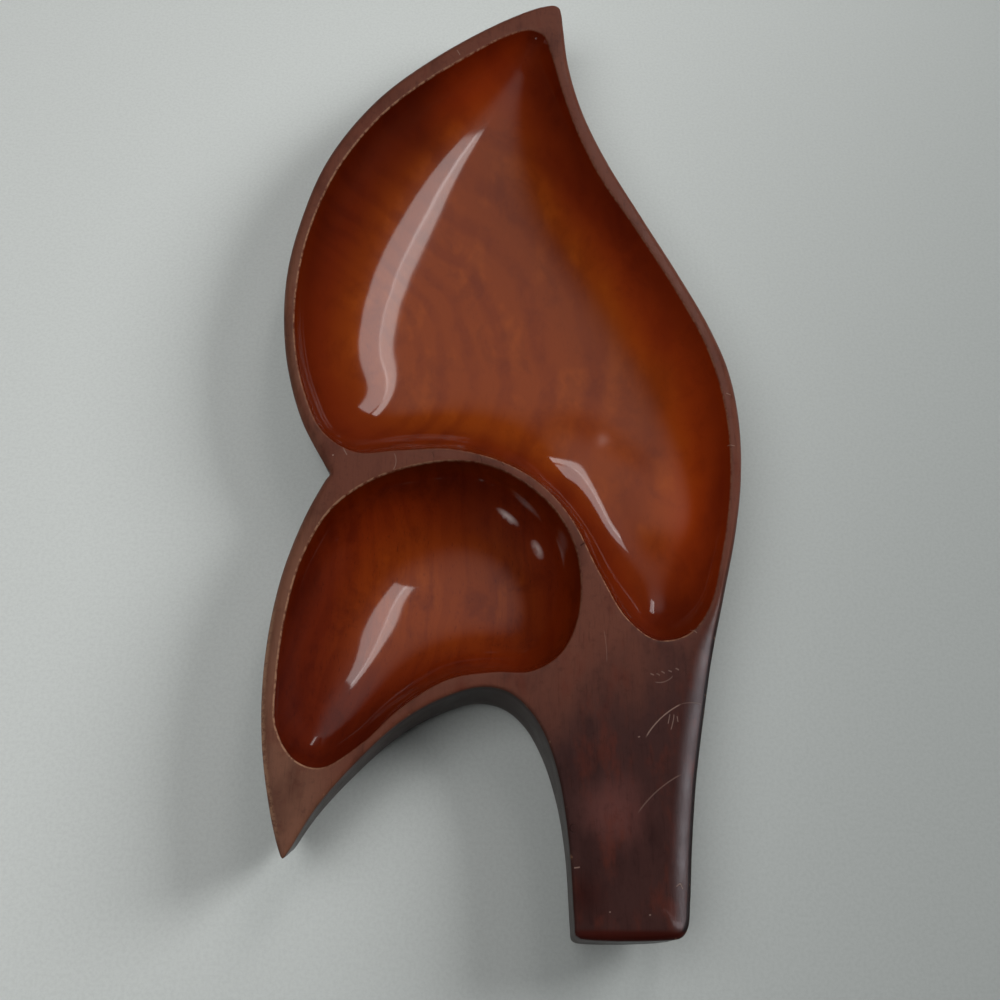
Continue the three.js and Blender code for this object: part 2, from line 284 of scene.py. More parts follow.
class InsetField:
    """Smooth distance in from a closed loop, and the rings of points that lie along it.

    The inverse square of the range to the loop is added up over every direction, so the rings
    come out rounded at tips and along ridges instead of creased.

    Attributes:
        PROBE: step over which the slope of the distance is measured, in millimetres.
        STRIDE: furthest that a ring moves in before its points are settled again.
        SPREADS: how often the points are spaced out in each stride.
        SERIES: angle under which the sum over a side of the loop is taken from its series.
        LEAST_SLOPE: least square of the slope, so that points near a ridge don't leap.
        DIRECT: distance up to which a ring is the loop moved straight in.
    """

    PROBE = 0.02
    STRIDE = 1.2
    SPREADS = 4
    SERIES = 0.25
    LEAST_SLOPE = 0.05
    DIRECT = 0.4

    def __init__(self, loop: np.ndarray) -> None:
        """Keeps the loop.

        Args:
            loop: its points, anticlockwise, with x and y first.
        """
        self.start = loop[:, :2]
        self.end = np.roll(self.start, -1, axis=0)
        along = self.end - np.roll(self.start, 1, axis=0)
        length = np.hypot(along[:, 0], along[:, 1])[:, None]
        self.inward = np.stack([-along[:, 1], along[:, 0]], 1) / length

    def distance(self, places: np.ndarray) -> np.ndarray:
        """Smooth distance of each place inside the loop.

        Args:
            places: one x, y row a place.

        Returns:
            The distances in millimetres.
        """
        result = np.empty(len(places))
        for block in blocks(len(places)):
            here = places[block, None, :]
            a = self.start[None] - here
            b = self.end[None] - here
            turn = np.arctan2(a[..., 0] * b[..., 1] - a[..., 1] * b[..., 0], (a * b).sum(-1))
            near_a = 1 / np.maximum(np.hypot(a[..., 0], a[..., 1]), TINY)
            near_b = 1 / np.maximum(np.hypot(b[..., 0], b[..., 1]), TINY)
            sine = np.sin(turn)
            cosine = np.cos(turn)
            narrow = np.abs(turn) < self.SERIES
            squares = (near_a**2 + near_b**2) * (turn - sine * cosine) / 2
            wide = squares + near_a * near_b * (sine - turn * cosine)
            wide = wide / np.where(narrow, 1, sine * sine)
            series = turn * (near_a**2 + near_a * near_b + near_b**2) / 3
            total = np.where(narrow, series, wide).sum(1)
            result[block] = np.sqrt(math.pi / (2 * np.maximum(total, TINY)))
        return result

    def settle(self, ring: np.ndarray, wanted: np.ndarray, passes: int) -> np.ndarray:
        """Moves points up or down the slope of the distance until it is the wanted one.

        Args:
            ring: the points.
            wanted: the distance that each should have.
            passes: how often they are moved.

        Returns:
            The moved points.
        """
        for _ in range(passes):
            here = self.distance(ring)
            slope_x = (self.distance(ring + [self.PROBE, 0]) - here) / self.PROBE
            slope_y = (self.distance(ring + [0, self.PROBE]) - here) / self.PROBE
            size = np.maximum(slope_x**2 + slope_y**2, self.LEAST_SLOPE)
            push = (wanted - here) / size
            ring = ring + np.stack([push * slope_x, push * slope_y], 1)
        return ring

    def spread(self, ring: np.ndarray) -> np.ndarray:
        """Slides the points of a ring along it, half of the way to even spacing.

        Args:
            ring: the points.

        Returns:
            The moved points.
        """
        before = np.roll(ring, 1, axis=0)
        after = np.roll(ring, -1, axis=0)
        along = after - before
        length = np.maximum(np.hypot(along[:, 0], along[:, 1]), TINY)
        middle = (before + after) / 2 - ring
        slide = 0.5 * (middle * along).sum(1) / length**2
        return ring + along * slide[:, None]

    def rings(self, distances: Sequence[np.ndarray]) -> list[np.ndarray]:
        """Rings ever further in from the loop, each found from the one before.

        Args:
            distances: for each ring the distance of every point, growing from ring to ring.

        Returns:
            One array of places for each ring.
        """
        result = []
        ring = self.start
        reached = np.zeros(len(ring))
        for wanted in distances:
            if wanted.max() <= self.DIRECT:
                result.append(self.start + self.inward * wanted[:, None])
                continue
            if not reached.any():
                reached = np.minimum(wanted, self.DIRECT)
                ring = self.start + self.inward * reached[:, None]
            strides = max(1, math.ceil((wanted - reached).max() / self.STRIDE))
            for k in range(1, strides + 1):
                goal = reached + (wanted - reached) * k / strides
                ring = self.settle(ring, goal, 1)
                for _ in range(self.SPREADS):
                    ring = self.spread(ring)
                ring = self.settle(ring, goal, 2)
            reached = wanted
            result.append(ring)
        return result

    def outward(self, distance: float) -> np.ndarray:
        """Ring a short way outside the loop.

        Args:
            distance: how far outside, in millimetres.

        Returns:
            The places of the ring.
        """
        return self.start - self.inward * distance


def inside(places: np.ndarray, loop: np.ndarray) -> np.ndarray:
    """Tells which places lie within a closed loop.

    Args:
        places: one x, y row a place.
        loop: the loop's points.

    Returns:
        True for each place within it.
    """
    x = places[:, 0]
    y = places[:, 1]
    result = np.zeros(len(places), bool)
    for (x1, y1), (x2, y2) in zip(loop[:, :2], np.roll(loop[:, :2], -1, axis=0)):
        if y1 == y2:
            continue
        crosses = ((y1 > y) != (y2 > y)) & (x < (x2 - x1) * (y - y1) / (y2 - y1) + x1)
        result ^= crosses
    return result


def nearest(places: np.ndarray, loop: np.ndarray) -> np.ndarray:
    """Distance from each place to the nearest point of a loop.

    Args:
        places: one x, y row a place.
        loop: the loop's points.

    Returns:
        The distances in millimetres.
    """
    result = np.empty(len(places))
    for block in blocks(len(places)):
        gap = places[block, None, :] - loop[None, :, :2]
        result[block] = np.sqrt((gap**2).sum(-1).min(1))
    return result


class MeshBuffer:
    """Collects the points of a mesh with their values, and its faces, before Blender gets them.

    Attributes:
        CLEARANCE: least distance of a filled field's points from its rings, as a share of their spacing.
        MERGE: distance under which two points of a filled field would be one, in millimetres.
    """

    CLEARANCE = 0.62
    MERGE = 1e-7

    def __init__(self) -> None:
        """Starts empty."""
        self.points: list[np.ndarray] = []
        self.values: dict[Field, list[np.ndarray]] = {name: [] for name in Field}
        self.faces: list[tuple[int, ...]] = []
        self.count = 0

    def add(self, places: np.ndarray, height: np.ndarray | float, values: Values) -> np.ndarray:
        """Adds points.

        Args:
            places: x and y of each, in millimetres.
            height: z of each or of all.
            values: what they carry; a field left out is zero.

        Returns:
            The indices of the new points.
        """
        total = len(places)
        column = np.broadcast_to(np.asarray(height, float), (total,))
        self.points.append(np.column_stack([places[:, :2], column]))
        for name in Field:
            value = np.asarray(values.get(name, 0.0), float)
            self.values[name].append(np.broadcast_to(value, (total,)).copy())
        first = self.count
        self.count += total
        return np.arange(first, self.count)

    def bridge(self, inner: np.ndarray, outer: np.ndarray) -> None:
        """Joins two rings of as many points with quads whose fronts face up and out.

        Args:
            inner: the ring nearer the middle of the top face.
            outer: the ring further along the surface.
        """
        following = np.roll(np.arange(len(inner)), -1)
        for i, j in enumerate(following):
            self.faces.append((int(outer[i]), int(outer[j]), int(inner[j]), int(inner[i])))

    def fill(
        self,
        border: np.ndarray,
        holes: Sequence[np.ndarray],
        spacing: float,
        height: Callable[[np.ndarray], np.ndarray] | float,
        values: Callable[[np.ndarray], Values] | Values,
        upward: bool,
    ) -> None:
        """Fills a ring with an even field of triangles.

        Args:
            border: indices of the ring around the field.
            holes: indices of the rings that stay open in it.
            spacing: distance between the new points, in millimetres.
            height: z of the new points, or what gives it at their places.
            values: what the new points carry, or what gives it at their places.
            upward: whether the fronts face up.
        """
        all_points = np.concatenate(self.points)[:, :2]
        loops = [all_points[ring] for ring in (border, *holes)]
        low = loops[0].min(0)
        high = loops[0].max(0)
        row_height = spacing * math.sqrt(3) / 2
        seeds = []
        for k, y in enumerate(np.arange(low[1], high[1], row_height)):
            x = np.arange(low[0] + (k % 2) * spacing / 2, high[0], spacing)
            seeds.append(np.stack([x, np.full(len(x), y)], 1))
        places = np.concatenate(seeds)
        places = places[inside(places, loops[0])]
        for loop in loops[1:]:
            places = places[~inside(places, loop)]
        for loop in loops:
            places = places[nearest(places, loop) > spacing * self.CLEARANCE]
        heights = height(places) if callable(height) else height
        fresh = self.add(places, heights, values(places) if callable(values) else values)
        indices = np.concatenate([border, *holes, fresh])
        flat = np.concatenate([*loops, places])
        edges = []
        offset = 0
        for loop in loops:
            total = len(loop)
            edges += [(offset + i, offset + (i + 1) % total) for i in range(total)]
            offset += total
        coordinates = [Vector((float(x), float(y))) for x, y in flat]
        found, _, triangles, origin, _, _ = delaunay_2d_cdt(coordinates, edges, [], 1, self.MERGE)
        if len(found) != len(flat):
            raise ValueError(f"the rings cross: {len(flat)} points became {len(found)}")
        order = np.array([indices[source[0]] for source in origin])
        corners = np.array([tuple(face) for face in triangles])
        at = np.array([tuple(place) for place in found])
        middles = at[corners].mean(1)
        keep = np.ones(len(corners), bool)
        for loop in loops[1:]:
            keep &= ~inside(middles, loop)
        for a, b, c in corners[keep]:
            one = at[b] - at[a]
            other = at[c] - at[a]
            cross = one[0] * other[1] - one[1] * other[0]
            face = (int(order[a]), int(order[b]), int(order[c]))
            self.faces.append(face if (cross > 0) == upward else face[::-1])

    def mesh(self, name: str) -> bpy.types.Mesh:
        """Makes the Blender mesh, in metres.

        Args:
            name: its name.

        Returns:
            The mesh, smooth shaded, with one attribute for each field.
        """
        mesh = bpy.data.meshes.new(name)
        mesh.from_pydata((np.concatenate(self.points) * MM).tolist(), [], self.faces)
        for field_name, parts in self.values.items():
            attribute = mesh.attributes.new(field_name.value, "FLOAT", "POINT")
            attribute.data.foreach_set("value", np.concatenate(parts))
        mesh.shade_smooth()
        mesh.validate()
        mesh.update()
        return mesh


@dataclass(frozen=True)
class Swell:
    """A soft rise or dip that the carver's gouge left in a hollow's floor.

    Attributes:
        middle: its place, in millimetres.
        dip: how much deeper the floor is there, less than 0 for a rise.
        radius: how wide it is.
    """

    middle: Span
    dip: float
    radius: float


LARGE_SWELLS = (
    Swell((50.3, -40.7), -2.6, 13.0),
    Swell((59.5, -64.6), -2.4, 11.2),
    Swell((58.7, -103.0), 2.6, 9.0),
    Swell((31.5, -23.2), -2.6, 12.9),
    Swell((62.5, -54.0), -2.4, 17.6),
    Swell((28.2, -68.5), 2.6, 18.2),
    Swell((-48.1, -13.2), 1.9, 14.4),
    Swell((-10.8, 80.0), 1.2, 30.0),
)
SMALL_SWELLS = (
    Swell((-56.4, -163.5), 1.3, 21.3),
    Swell((-70.9, -165.0), 1.7, 8.0),
    Swell((-46.1, -90.3), 1.0, 11.8),
    Swell((-69.4, -129.1), -1.4, 12.4),
)


@dataclass
class Hollow:
    """One carved hollow: its mouth, and the rule that sets how deep it is at each distance in.

    Attributes:
        rows: the mouth's rows.
        depth: depth below the rim where the floor is level, in millimetres.
        reach: how far in from the mouth the floor turns level.
        marker: the field that marks this hollow's points.
        middle: the place at which the depth is as stated.
        lean: share of the depth that the floor gains a millimetre towards +X and towards +Y.
        swells: the floor's soft rises and dips.
        step: distance between the points of its mouth.
        arris: how far out of the mouth the rings of its rounded edge lie.
        wall_rings: distances in from the mouth at which the wall gets a ring.
        floor_spacing: distance between the points of the floor.
        edge_fade: how far in from the mouth the softness of its edge is felt.
    """

    rows: Sequence[Sequence[float]]
    depth: float
    reach: float
    marker: Field
    middle: Span
    lean: Span = (0.0, 0.0)
    swells: tuple[Swell, ...] = ()
    step: float = 1.25 * COARSE
    arris: tuple[float, ...] = (0.7, 0.45, 0.22)
    wall_rings: tuple[float, ...] = (0.12, 0.28, 0.5, 0.8, 1.2, 1.75, 2.5, 3.4, 4.5, 5.8, 7.2, 8.8)
    floor_spacing: float = 1.9 * COARSE
    edge_fade: float = 12.0

    def build(self, buffer: MeshBuffer, board_height: float) -> np.ndarray:
        """Adds the hollow's surface, still level with the rim.

        Args:
            buffer: the mesh to add to.
            board_height: height of the rim, in millimetres.

        Returns:
            The indices of its outermost ring, just outside the mouth.
        """
        mouth = ClosedCurve(self.rows, self.step).sample()
        field_in = InsetField(mouth)
        shared = {Field.SOFTNESS: mouth[:, 2], Field.ARRIS: mouth[:, 3], Field.EDGE: FAR, Field.TOP: 1.0}
        loops = []
        for distance in self.arris:
            values = {Field.MOUTH: -distance, **shared}
            loops.append(buffer.add(field_in.outward(distance), board_height, values))
        distances = [np.full(len(mouth), distance) for distance in self.wall_rings]
        rings = [mouth[:, :2], *field_in.rings(distances)]
        for distance, ring in zip((0.0, *self.wall_rings), rings):
            values = {Field.MOUTH: distance, self.marker: 1.0, **shared}
            loops.append(buffer.add(ring, board_height, values))
        for outer, inner in zip(loops, loops[1:]):
            buffer.bridge(inner, outer)

        def floor_values(places: np.ndarray) -> Values:
            """What the points of the floor carry.

            Args:
                places: where they are.

            Returns:
                Their values.
            """
            blend = np.exp(-nearest(places, mouth) / self.edge_fade)
            return {
                Field.MOUTH: field_in.distance(places),
                Field.SOFTNESS: 1 + (self._softness(places, mouth) - 1) * blend,
                Field.EDGE: FAR,
                self.marker: 1.0,
                Field.TOP: 1.0,
            }

        buffer.fill(loops[-1], (), self.floor_spacing, board_height, floor_values, True)
        return loops[0]

    @staticmethod
    def _softness(places: np.ndarray, mouth: np.ndarray) -> np.ndarray:
        """Softness of the mouth's edge, spread to places inside it.

        Args:
            places: where it is wanted.
            mouth: the mouth's points with their softness.

        Returns:
            One softness a place.
        """
        result = np.empty(len(places))
        for block in blocks(len(places)):
            gap = ((places[block, None, :] - mouth[None, :, :2]) ** 2).sum(-1)
            weight = 1 / (gap + 1)
            result[block] = (weight * mouth[None, :, 2]).sum(1) / weight.sum(1)
        return result


@dataclass
class Board:
    """The board that the dish is cut from: its top, its soft shoulder, its wall and its underside.

    Attributes:
        thickness: height of the rim above the table, in millimetres.
        round_squash: width of the round under the wall as a share of its height.
        lift: how far the end of the handle's underside stands off the table.
        lift_start: y at which the handle's underside starts to rise.
        lift_length: length of the rise.
        step: distance between the points of the outline.
        shoulder_shares: shares of the shoulder's width that get a ring, from the edge inwards.
        shoulder_power: how square the shoulder is where it is narrow.
        bevel_power: how square it is where it is as wide as on the handle, where it is nearly a bevel.
        bevel_widths: widths of the shoulder between which it turns into that bevel.
        wall_shares: shares of the wall's height that get a ring.
        under_steps: steps of the round under the wall.
        rim_spacing: distance between the points on top of the rim and the handle.
        rim_margin: least width of the flat top between a mouth and the shoulder.
        foot_spacing: distance between the points of the underside.
    """

    thickness: float = 32.0
    round_squash: float = 0.85
    lift: float = 11.0
    lift_start: float = -150.0
    lift_length: float = 52.0
    step: float = 1.3 * COARSE
    shoulder_shares: tuple[float, ...] = (0.03, 0.08, 0.16, 0.27, 0.4, 0.55, 0.7, 0.85, 1.0)
    shoulder_power: float = 1.6
    bevel_power: float = 1.3
    bevel_widths: Span = (4.0, 8.0)
    wall_shares: tuple[float, ...] = (0.2, 0.45, 0.7, 0.88, 1.0)
    under_steps: int = 8
    rim_spacing: float = 1.5 * COARSE
    rim_margin: float = 0.9
    foot_spacing: float = 3.0 * COARSE

    def underside(self, places: np.ndarray) -> np.ndarray:
        """Height of the underside, which climbs away from the table under the handle.

        Args:
            places: where it is wanted.

        Returns:
            The heights in millimetres.
        """
        share = np.clip((self.lift_start - places[:, 1]) / self.lift_length, 0, 1)
        return np.where(places[:, 0] > 0, self.lift * share * share * (3 - 2 * share), 0.0)

    def build(self, buffer: MeshBuffer, mouths: Sequence[np.ndarray]) -> None:
        """Adds the board's surface around the hollows.

        Args:
            buffer: the mesh to add to.
            mouths: indices of the rings just outside the mouths.
        """
        outline = ClosedCurve(OUTLINE_ROWS, self.step).sample()
        width, fall, draft, under = (outline[:, k] for k in (2, 3, 4, 5))
        field_in = InsetField(outline)
        edge_height = self.thickness - fall
        edge = buffer.add(outline[:, :2], edge_height, {Field.MOUTH: -FAR, Field.TOP: 0.5})
        self._shoulder(buffer, field_in, width, fall, edge, mouths)
        self._side(buffer, field_in, edge, edge_height, draft, under)

    def _shoulder(
        self,
        buffer: MeshBuffer,
        field_in: InsetField,
        width: np.ndarray,
        fall: np.ndarray,
        edge: np.ndarray,
        mouths: Sequence[np.ndarray],
    ) -> None:
        """Adds the soft shoulder and the flat top within it.

        Args:
            buffer: the mesh to add to.
            field_in: distances in from the outline.
            width: the shoulder's width at each point of the outline.
            fall: how far the outline lies below the rim.
            edge: indices of the outline's points.
            mouths: indices of the rings just outside the mouths.
        """
        rims = [np.concatenate(buffer.points)[mouth][:, :2] for mouth in mouths]
        room = np.minimum(*(nearest(field_in.start, rim) for rim in rims)) - self.rim_margin
        width = np.minimum(width, room)
        rings = field_in.rings([width * share for share in self.shoulder_shares])
        outer = edge
        narrow, wide = self.bevel_widths
        bevel = np.clip((width - narrow) / (wide - narrow), 0, 1)
        power = self.shoulder_power + (self.bevel_power - self.shoulder_power) * bevel
        for share, ring in zip(self.shoulder_shares, rings):
            run = (1 - share) ** power
            drop = 1 - (1 - run) ** (1 / power)
            values = {Field.MOUTH: -FAR, Field.EDGE: width * share, Field.TOP: 1.0}
            indices = buffer.add(ring, self.thickness - fall * drop, values)
            buffer.bridge(indices, outer)
            outer = indices

        def top_values(places: np.ndarray) -> Values:
            """What the points on top of the rim carry.

            Args:
                places: where they are.

            Returns:
                Their values.
            """
            gap = np.minimum(*(nearest(places, rim) for rim in rims)) + Hollow.arris[0]
            return {Field.MOUTH: -gap, Field.EDGE: nearest(places, field_in.start), Field.TOP: 1.0}

        buffer.fill(outer, mouths, self.rim_spacing, self.thickness, top_values, True)

    def _side(
        self,
        buffer: MeshBuffer,
        field_in: InsetField,
        edge: np.ndarray,
        edge_height: np.ndarray,
        draft: np.ndarray,
        under: np.ndarray,
    ) -> None:
        """Adds the wall, the round under it and the underside.

        Args:
            buffer: the mesh to add to.
            field_in: distances in from the outline.
            edge: indices of the outline's points.
            edge_height: their heights.
            draft: how far in the foot of the wall lies.
            under: radius of the round under the wall.
        """
        values: Values = {Field.MOUTH: -FAR, Field.EDGE: -FAR}
        angles = [math.pi / 2 * k / self.under_steps for k in range(1, self.under_steps + 1)]
        wall = [draft * share for share in self.wall_shares]
        turned = [draft + under * self.round_squash * (1 - math.cos(angle)) for angle in angles]
        rings = field_in.rings([*wall, *turned])
        inner = edge
        for share, ring in zip(self.wall_shares, rings):
            low = self.underside(ring) + under
            down = (edge_height - low) * share
            indices = buffer.add(ring, edge_height - down, {**values, Field.EDGE: -down})
            buffer.bridge(inner, indices)
            inner = indices
        for angle, ring in zip(angles, rings[len(wall) :]):
            indices = buffer.add(ring, self.underside(ring) + under * (1 - math.sin(angle)), values)
            buffer.bridge(inner, indices)
            inner = indices
        buffer.fill(inner, (), self.foot_spacing, self.underside, values, False)


class Wire:
    """A node's output that Python expressions can calculate with."""

    def __init__(self, graph: Graph, socket: bpy.types.NodeSocket | None) -> None:
        """Keeps the output and the graph that it is in; a last node has no output."""
        self.graph = graph
        self.socket = socket

    def _with(self, operation: str, *others: Wire | float, swap: bool = False) -> Wire:
        """Adds a Math node on this value and others.

        Args:
            operation: the node's operation.
            others: its further inputs.
            swap: whether this value is its second input.

        Returns:
            The node's result.
        """
        terms = (*others, self) if swap else (self, *others)
        return self.graph.add("ShaderNodeMath", {"operation": operation}, dict(enumerate(terms)))

    def __add__(self, other: Wire | float) -> Wire:
        """Sum."""
        return self._with("ADD", other)

    __radd__ = __add__

    def __sub__(self, other: Wire | float) -> Wire:
        """Difference."""
        return self._with("SUBTRACT", other)

    def __rsub__(self, other: float) -> Wire:
        """Difference from a number."""
        return self._with("SUBTRACT", other, swap=True)

    def __mul__(self, other: Wire | float) -> Wire:
        """Product."""
        return self._with("MULTIPLY", other)

    __rmul__ = __mul__

    def __truediv__(self, other: Wire | float) -> Wire:
        """Quotient."""
        return self._with("DIVIDE", other)

    def __pow__(self, other: Wire | float) -> Wire:
        """Power."""
        return self._with("POWER", other)

    def sine(self) -> Wire:
        """Sine of this value in radians."""
        return self._with("SINE")

    def absolute(self) -> Wire:
        """Value without its sign."""
        return self._with("ABSOLUTE")

    def least(self, other: Wire | float) -> Wire:
        """The smaller of two values."""
        return self._with("MINIMUM", other)

    def most(self, other: Wire | float) -> Wire:
        """The larger of two values."""
        return self._with("MAXIMUM", other)

    def exponent(self) -> Wire:
        """Power of e."""
        return self._with("EXPONENT")

    def log(self) -> Wire:
        """Natural logarithm."""
        return self._with("LOGARITHM", math.e)

    def clamp(self) -> Wire:
        """This value kept between 0 and 1."""
        return self.graph.add("ShaderNodeMath", {"operation": "ADD", "use_clamp": True}, {0: self, 1: 0.0})

    def ramp(self, low: float, high: float) -> Wire:
        """Smooth step of this value.

        Args:
            low: value at which the step is 0; it may be the larger one.
            high: value at which it is 1.

        Returns:
            The step, between 0 and 1.
        """
        rising = low < high
        inputs = {"Value": self, "From Min": min(low, high), "From Max": max(low, high)}
        inputs |= {"To Min": float(not rising), "To Max": float(rising)}
        return self.graph.add("ShaderNodeMapRange", {"interpolation_type": "SMOOTHSTEP"}, inputs)

    def strip(self, start: float, full: float, fading: float, end: float) -> Wire:
        """1 within a range of this value, with a soft border on both of its sides.

        Args:
            start: value up to which it is 0.
            full: value from which it is 1.
            fading: value up to which it is 1.
            end: value from which it is 0 again.

        Returns:
            The mask, between 0 and 1.
        """
        return self.ramp(start, full) * self.ramp(end, fading)


class Graph:
    """Adds nodes to a tree: every kind through one method, and the commonest by a short name."""

    def __init__(self, tree: bpy.types.NodeTree) -> None:
        """Keeps the tree and clears it."""
        self.tree = tree
        tree.nodes.clear()

    def add(
        self,
        kind: str,
        settings: dict[str, object] | None = None,
        inputs: dict[str | int, object] | None = None,
        output: str | int = 0,
    ) -> Wire:
        """Adds a node.

        Args:
            kind: its type.
            settings: its properties, which are set first.
            inputs: values or wires by the socket's identifier, name or place.
            output: which of its outputs is wanted.

        Returns:
            That output.
        """
        node = self.tree.nodes.new(kind)
        for name, value in (settings or {}).items():
            setattr(node, name, value)
        for key, value in (inputs or {}).items():
            socket = self._socket(node.inputs, key)
            if isinstance(value, Wire):
                self.tree.links.new(value.socket, socket)
            else:
                socket.default_value = value
        if not len(node.outputs):
            return Wire(self, None)
        return Wire(self, self._socket(node.outputs, output))

    @staticmethod
    def _socket(sockets: Sequence[bpy.types.NodeSocket], key: str | int) -> bpy.types.NodeSocket:
        """Finds a socket.

        Args:
            sockets: a node's inputs or outputs.
            key: its place, its identifier or its name.

        Returns:
            The socket.
        """
        if isinstance(key, int):
            return sockets[key]
        for socket in sockets:
            if socket.identifier == key:
                return socket
        return next(socket for socket in sockets if socket.name == key and socket.enabled)

    def blend(
        self, share: Wire | float, low: Wire | Colour, high: Wire | Colour, kind: str = "MIX"
    ) -> Wire:
        """Mixes two colours.

        Args:
            share: share of the second.
            low: the first colour.
            high: the second colour.
            kind: how they are mixed.

        Returns:
            The mixed colour.
        """
        ends = [end if isinstance(end, Wire) else (*end, 1.0) for end in (low, high)]
        inputs = {"Factor_Float": share, "A_Color": ends[0], "B_Color": ends[1]}
        settings = {"data_type": "RGBA", "blend_type": kind}
        return self.add("ShaderNodeMix", settings, inputs, "Result_Color")

    def tint(self, share: Wire | float, colour: Wire, tone: Wire | Colour) -> Wire:
        """Multiplies a colour by a tone.

        Args:
            share: how much of the tone counts.
            colour: the colour.
            tone: what it is multiplied by.

        Returns:
            The tinted colour.
        """
        return self.blend(share, colour, tone, "MULTIPLY")

    def vector(self, operation: str, *terms: Wire | Place, output: str | int = 0) -> Wire:
        """Vector maths.

        Args:
            operation: the node's operation.
            terms: its vectors.
            output: which of its outputs is wanted.

        Returns:
            The result.
        """
        return self.add("ShaderNodeVectorMath", {"operation": operation}, dict(enumerate(terms)), output)

    def scaled(self, vector: Wire, scale: Place) -> Wire:
        """A vector with each part multiplied by a factor of its own."""
        return self.vector("MULTIPLY", vector, scale)

    def along(self, place: Wire, direction: Wire | Place) -> Wire:
        """How far a place lies in a direction."""
        return self.vector("DOT_PRODUCT", place, direction, output="Value")

    def apart(self, place: Wire, other: Wire | Place) -> Wire:
        """Distance between two places."""
        return self.vector("DISTANCE", place, other, output="Value")


@dataclass(frozen=True)
class Grain:
    """A noise about 0.5.

    Attributes:
        scale: its cells in a unit of the place at which it is read.
        detail: its octaves.
        roughness: strength of the finer octaves.
        stretch: factors for the parts of the place, less than 1 along which it is drawn out.
        warp: its distortion.
        shows: values between which its mask rises.
        strength: how high the mask rises.
    """

    scale: float
    detail: float = 3.0
    roughness: float = 0.6
    stretch: Place = (1.0, 1.0, 1.0)
    warp: float = 0.0
    shows: Span = (0.5, 0.7)
    strength: float = 1.0

    def on(self, graph: Graph, place: Wire) -> Wire:
        """The noise at a place.

        Args:
            graph: the nodes to add to.
            place: where it is read.

        Returns:
            Its value.
        """
        inputs = {
            "Vector": graph.scaled(place, self.stretch),
            "Scale": self.scale,
            "Detail": self.detail,
            "Roughness": self.roughness,
            "Distortion": self.warp,
        }
        return graph.add("ShaderNodeTexNoise", {}, inputs, "Fac")

    def mask(self, graph: Graph, place: Wire) -> Wire:
        """Where the noise is high."""
        return self.on(graph, place).ramp(*self.shows) * self.strength


@dataclass(frozen=True)
class Side:
    """What lies on one side of the dish, beyond a soft straight border.

    Attributes:
        toward: the direction of that side.
        start: how far along it the border starts.
        full: how far along it the border ends.
        strength: the mask's value beyond the border.
    """

    toward: Place
    start: float
    full: float
    strength: float = 1.0

    def on(self, graph: Graph, place: Wire, shift: Wire | float = 0.0) -> Wire:
        """Where that side is.

        Args:
            graph: the nodes to add to.
            place: where it is asked.
            shift: what moves the border.

        Returns:
            The mask.
        """
        reach = graph.along(place, self.toward) + shift
        return reach.ramp(self.start, self.full) * self.strength


@dataclass(frozen=True)
class Spot:
    """A soft round patch with a wavering border.

    Attributes:
        middle: its middle, in millimetres.
        outer: distance from it at which the patch starts.
        inner: distance at which it shows in full.
        waver: how far the border wavers.
        strength: the mask's value in its middle.
    """

    middle: Place
    outer: float
    inner: float
    waver: float
    strength: float

    def on(self, graph: Graph, place: Wire, noise: Wire) -> Wire:
        """Where the patch is.

        Args:
            graph: the nodes to add to.
            place: where it is asked, in millimetres.
            noise: what the border wavers with.

        Returns:
            The mask.
        """
        away = graph.apart(place, self.middle) + noise * self.waver
        return away.ramp(self.outer, self.inner) * self.strength


def linear(red: float, green: float, blue: float) -> Colour:
    """Turns a colour as a screen shows it, each part from 0 to 255, into the renderer's scale.

    Args:
        red: its red.
        green: its green.
        blue: its blue.

    Returns:
        The same colour with each part from 0 to 1, in proportion to light.
    """

    def part(value: float) -> float:
        """Turns one part."""
        share = value / 255
        return share / 12.92 if share <= 0.04045 else ((share + 0.055) / 1.055) ** 2.4

    return part(red), part(green), part(blue)


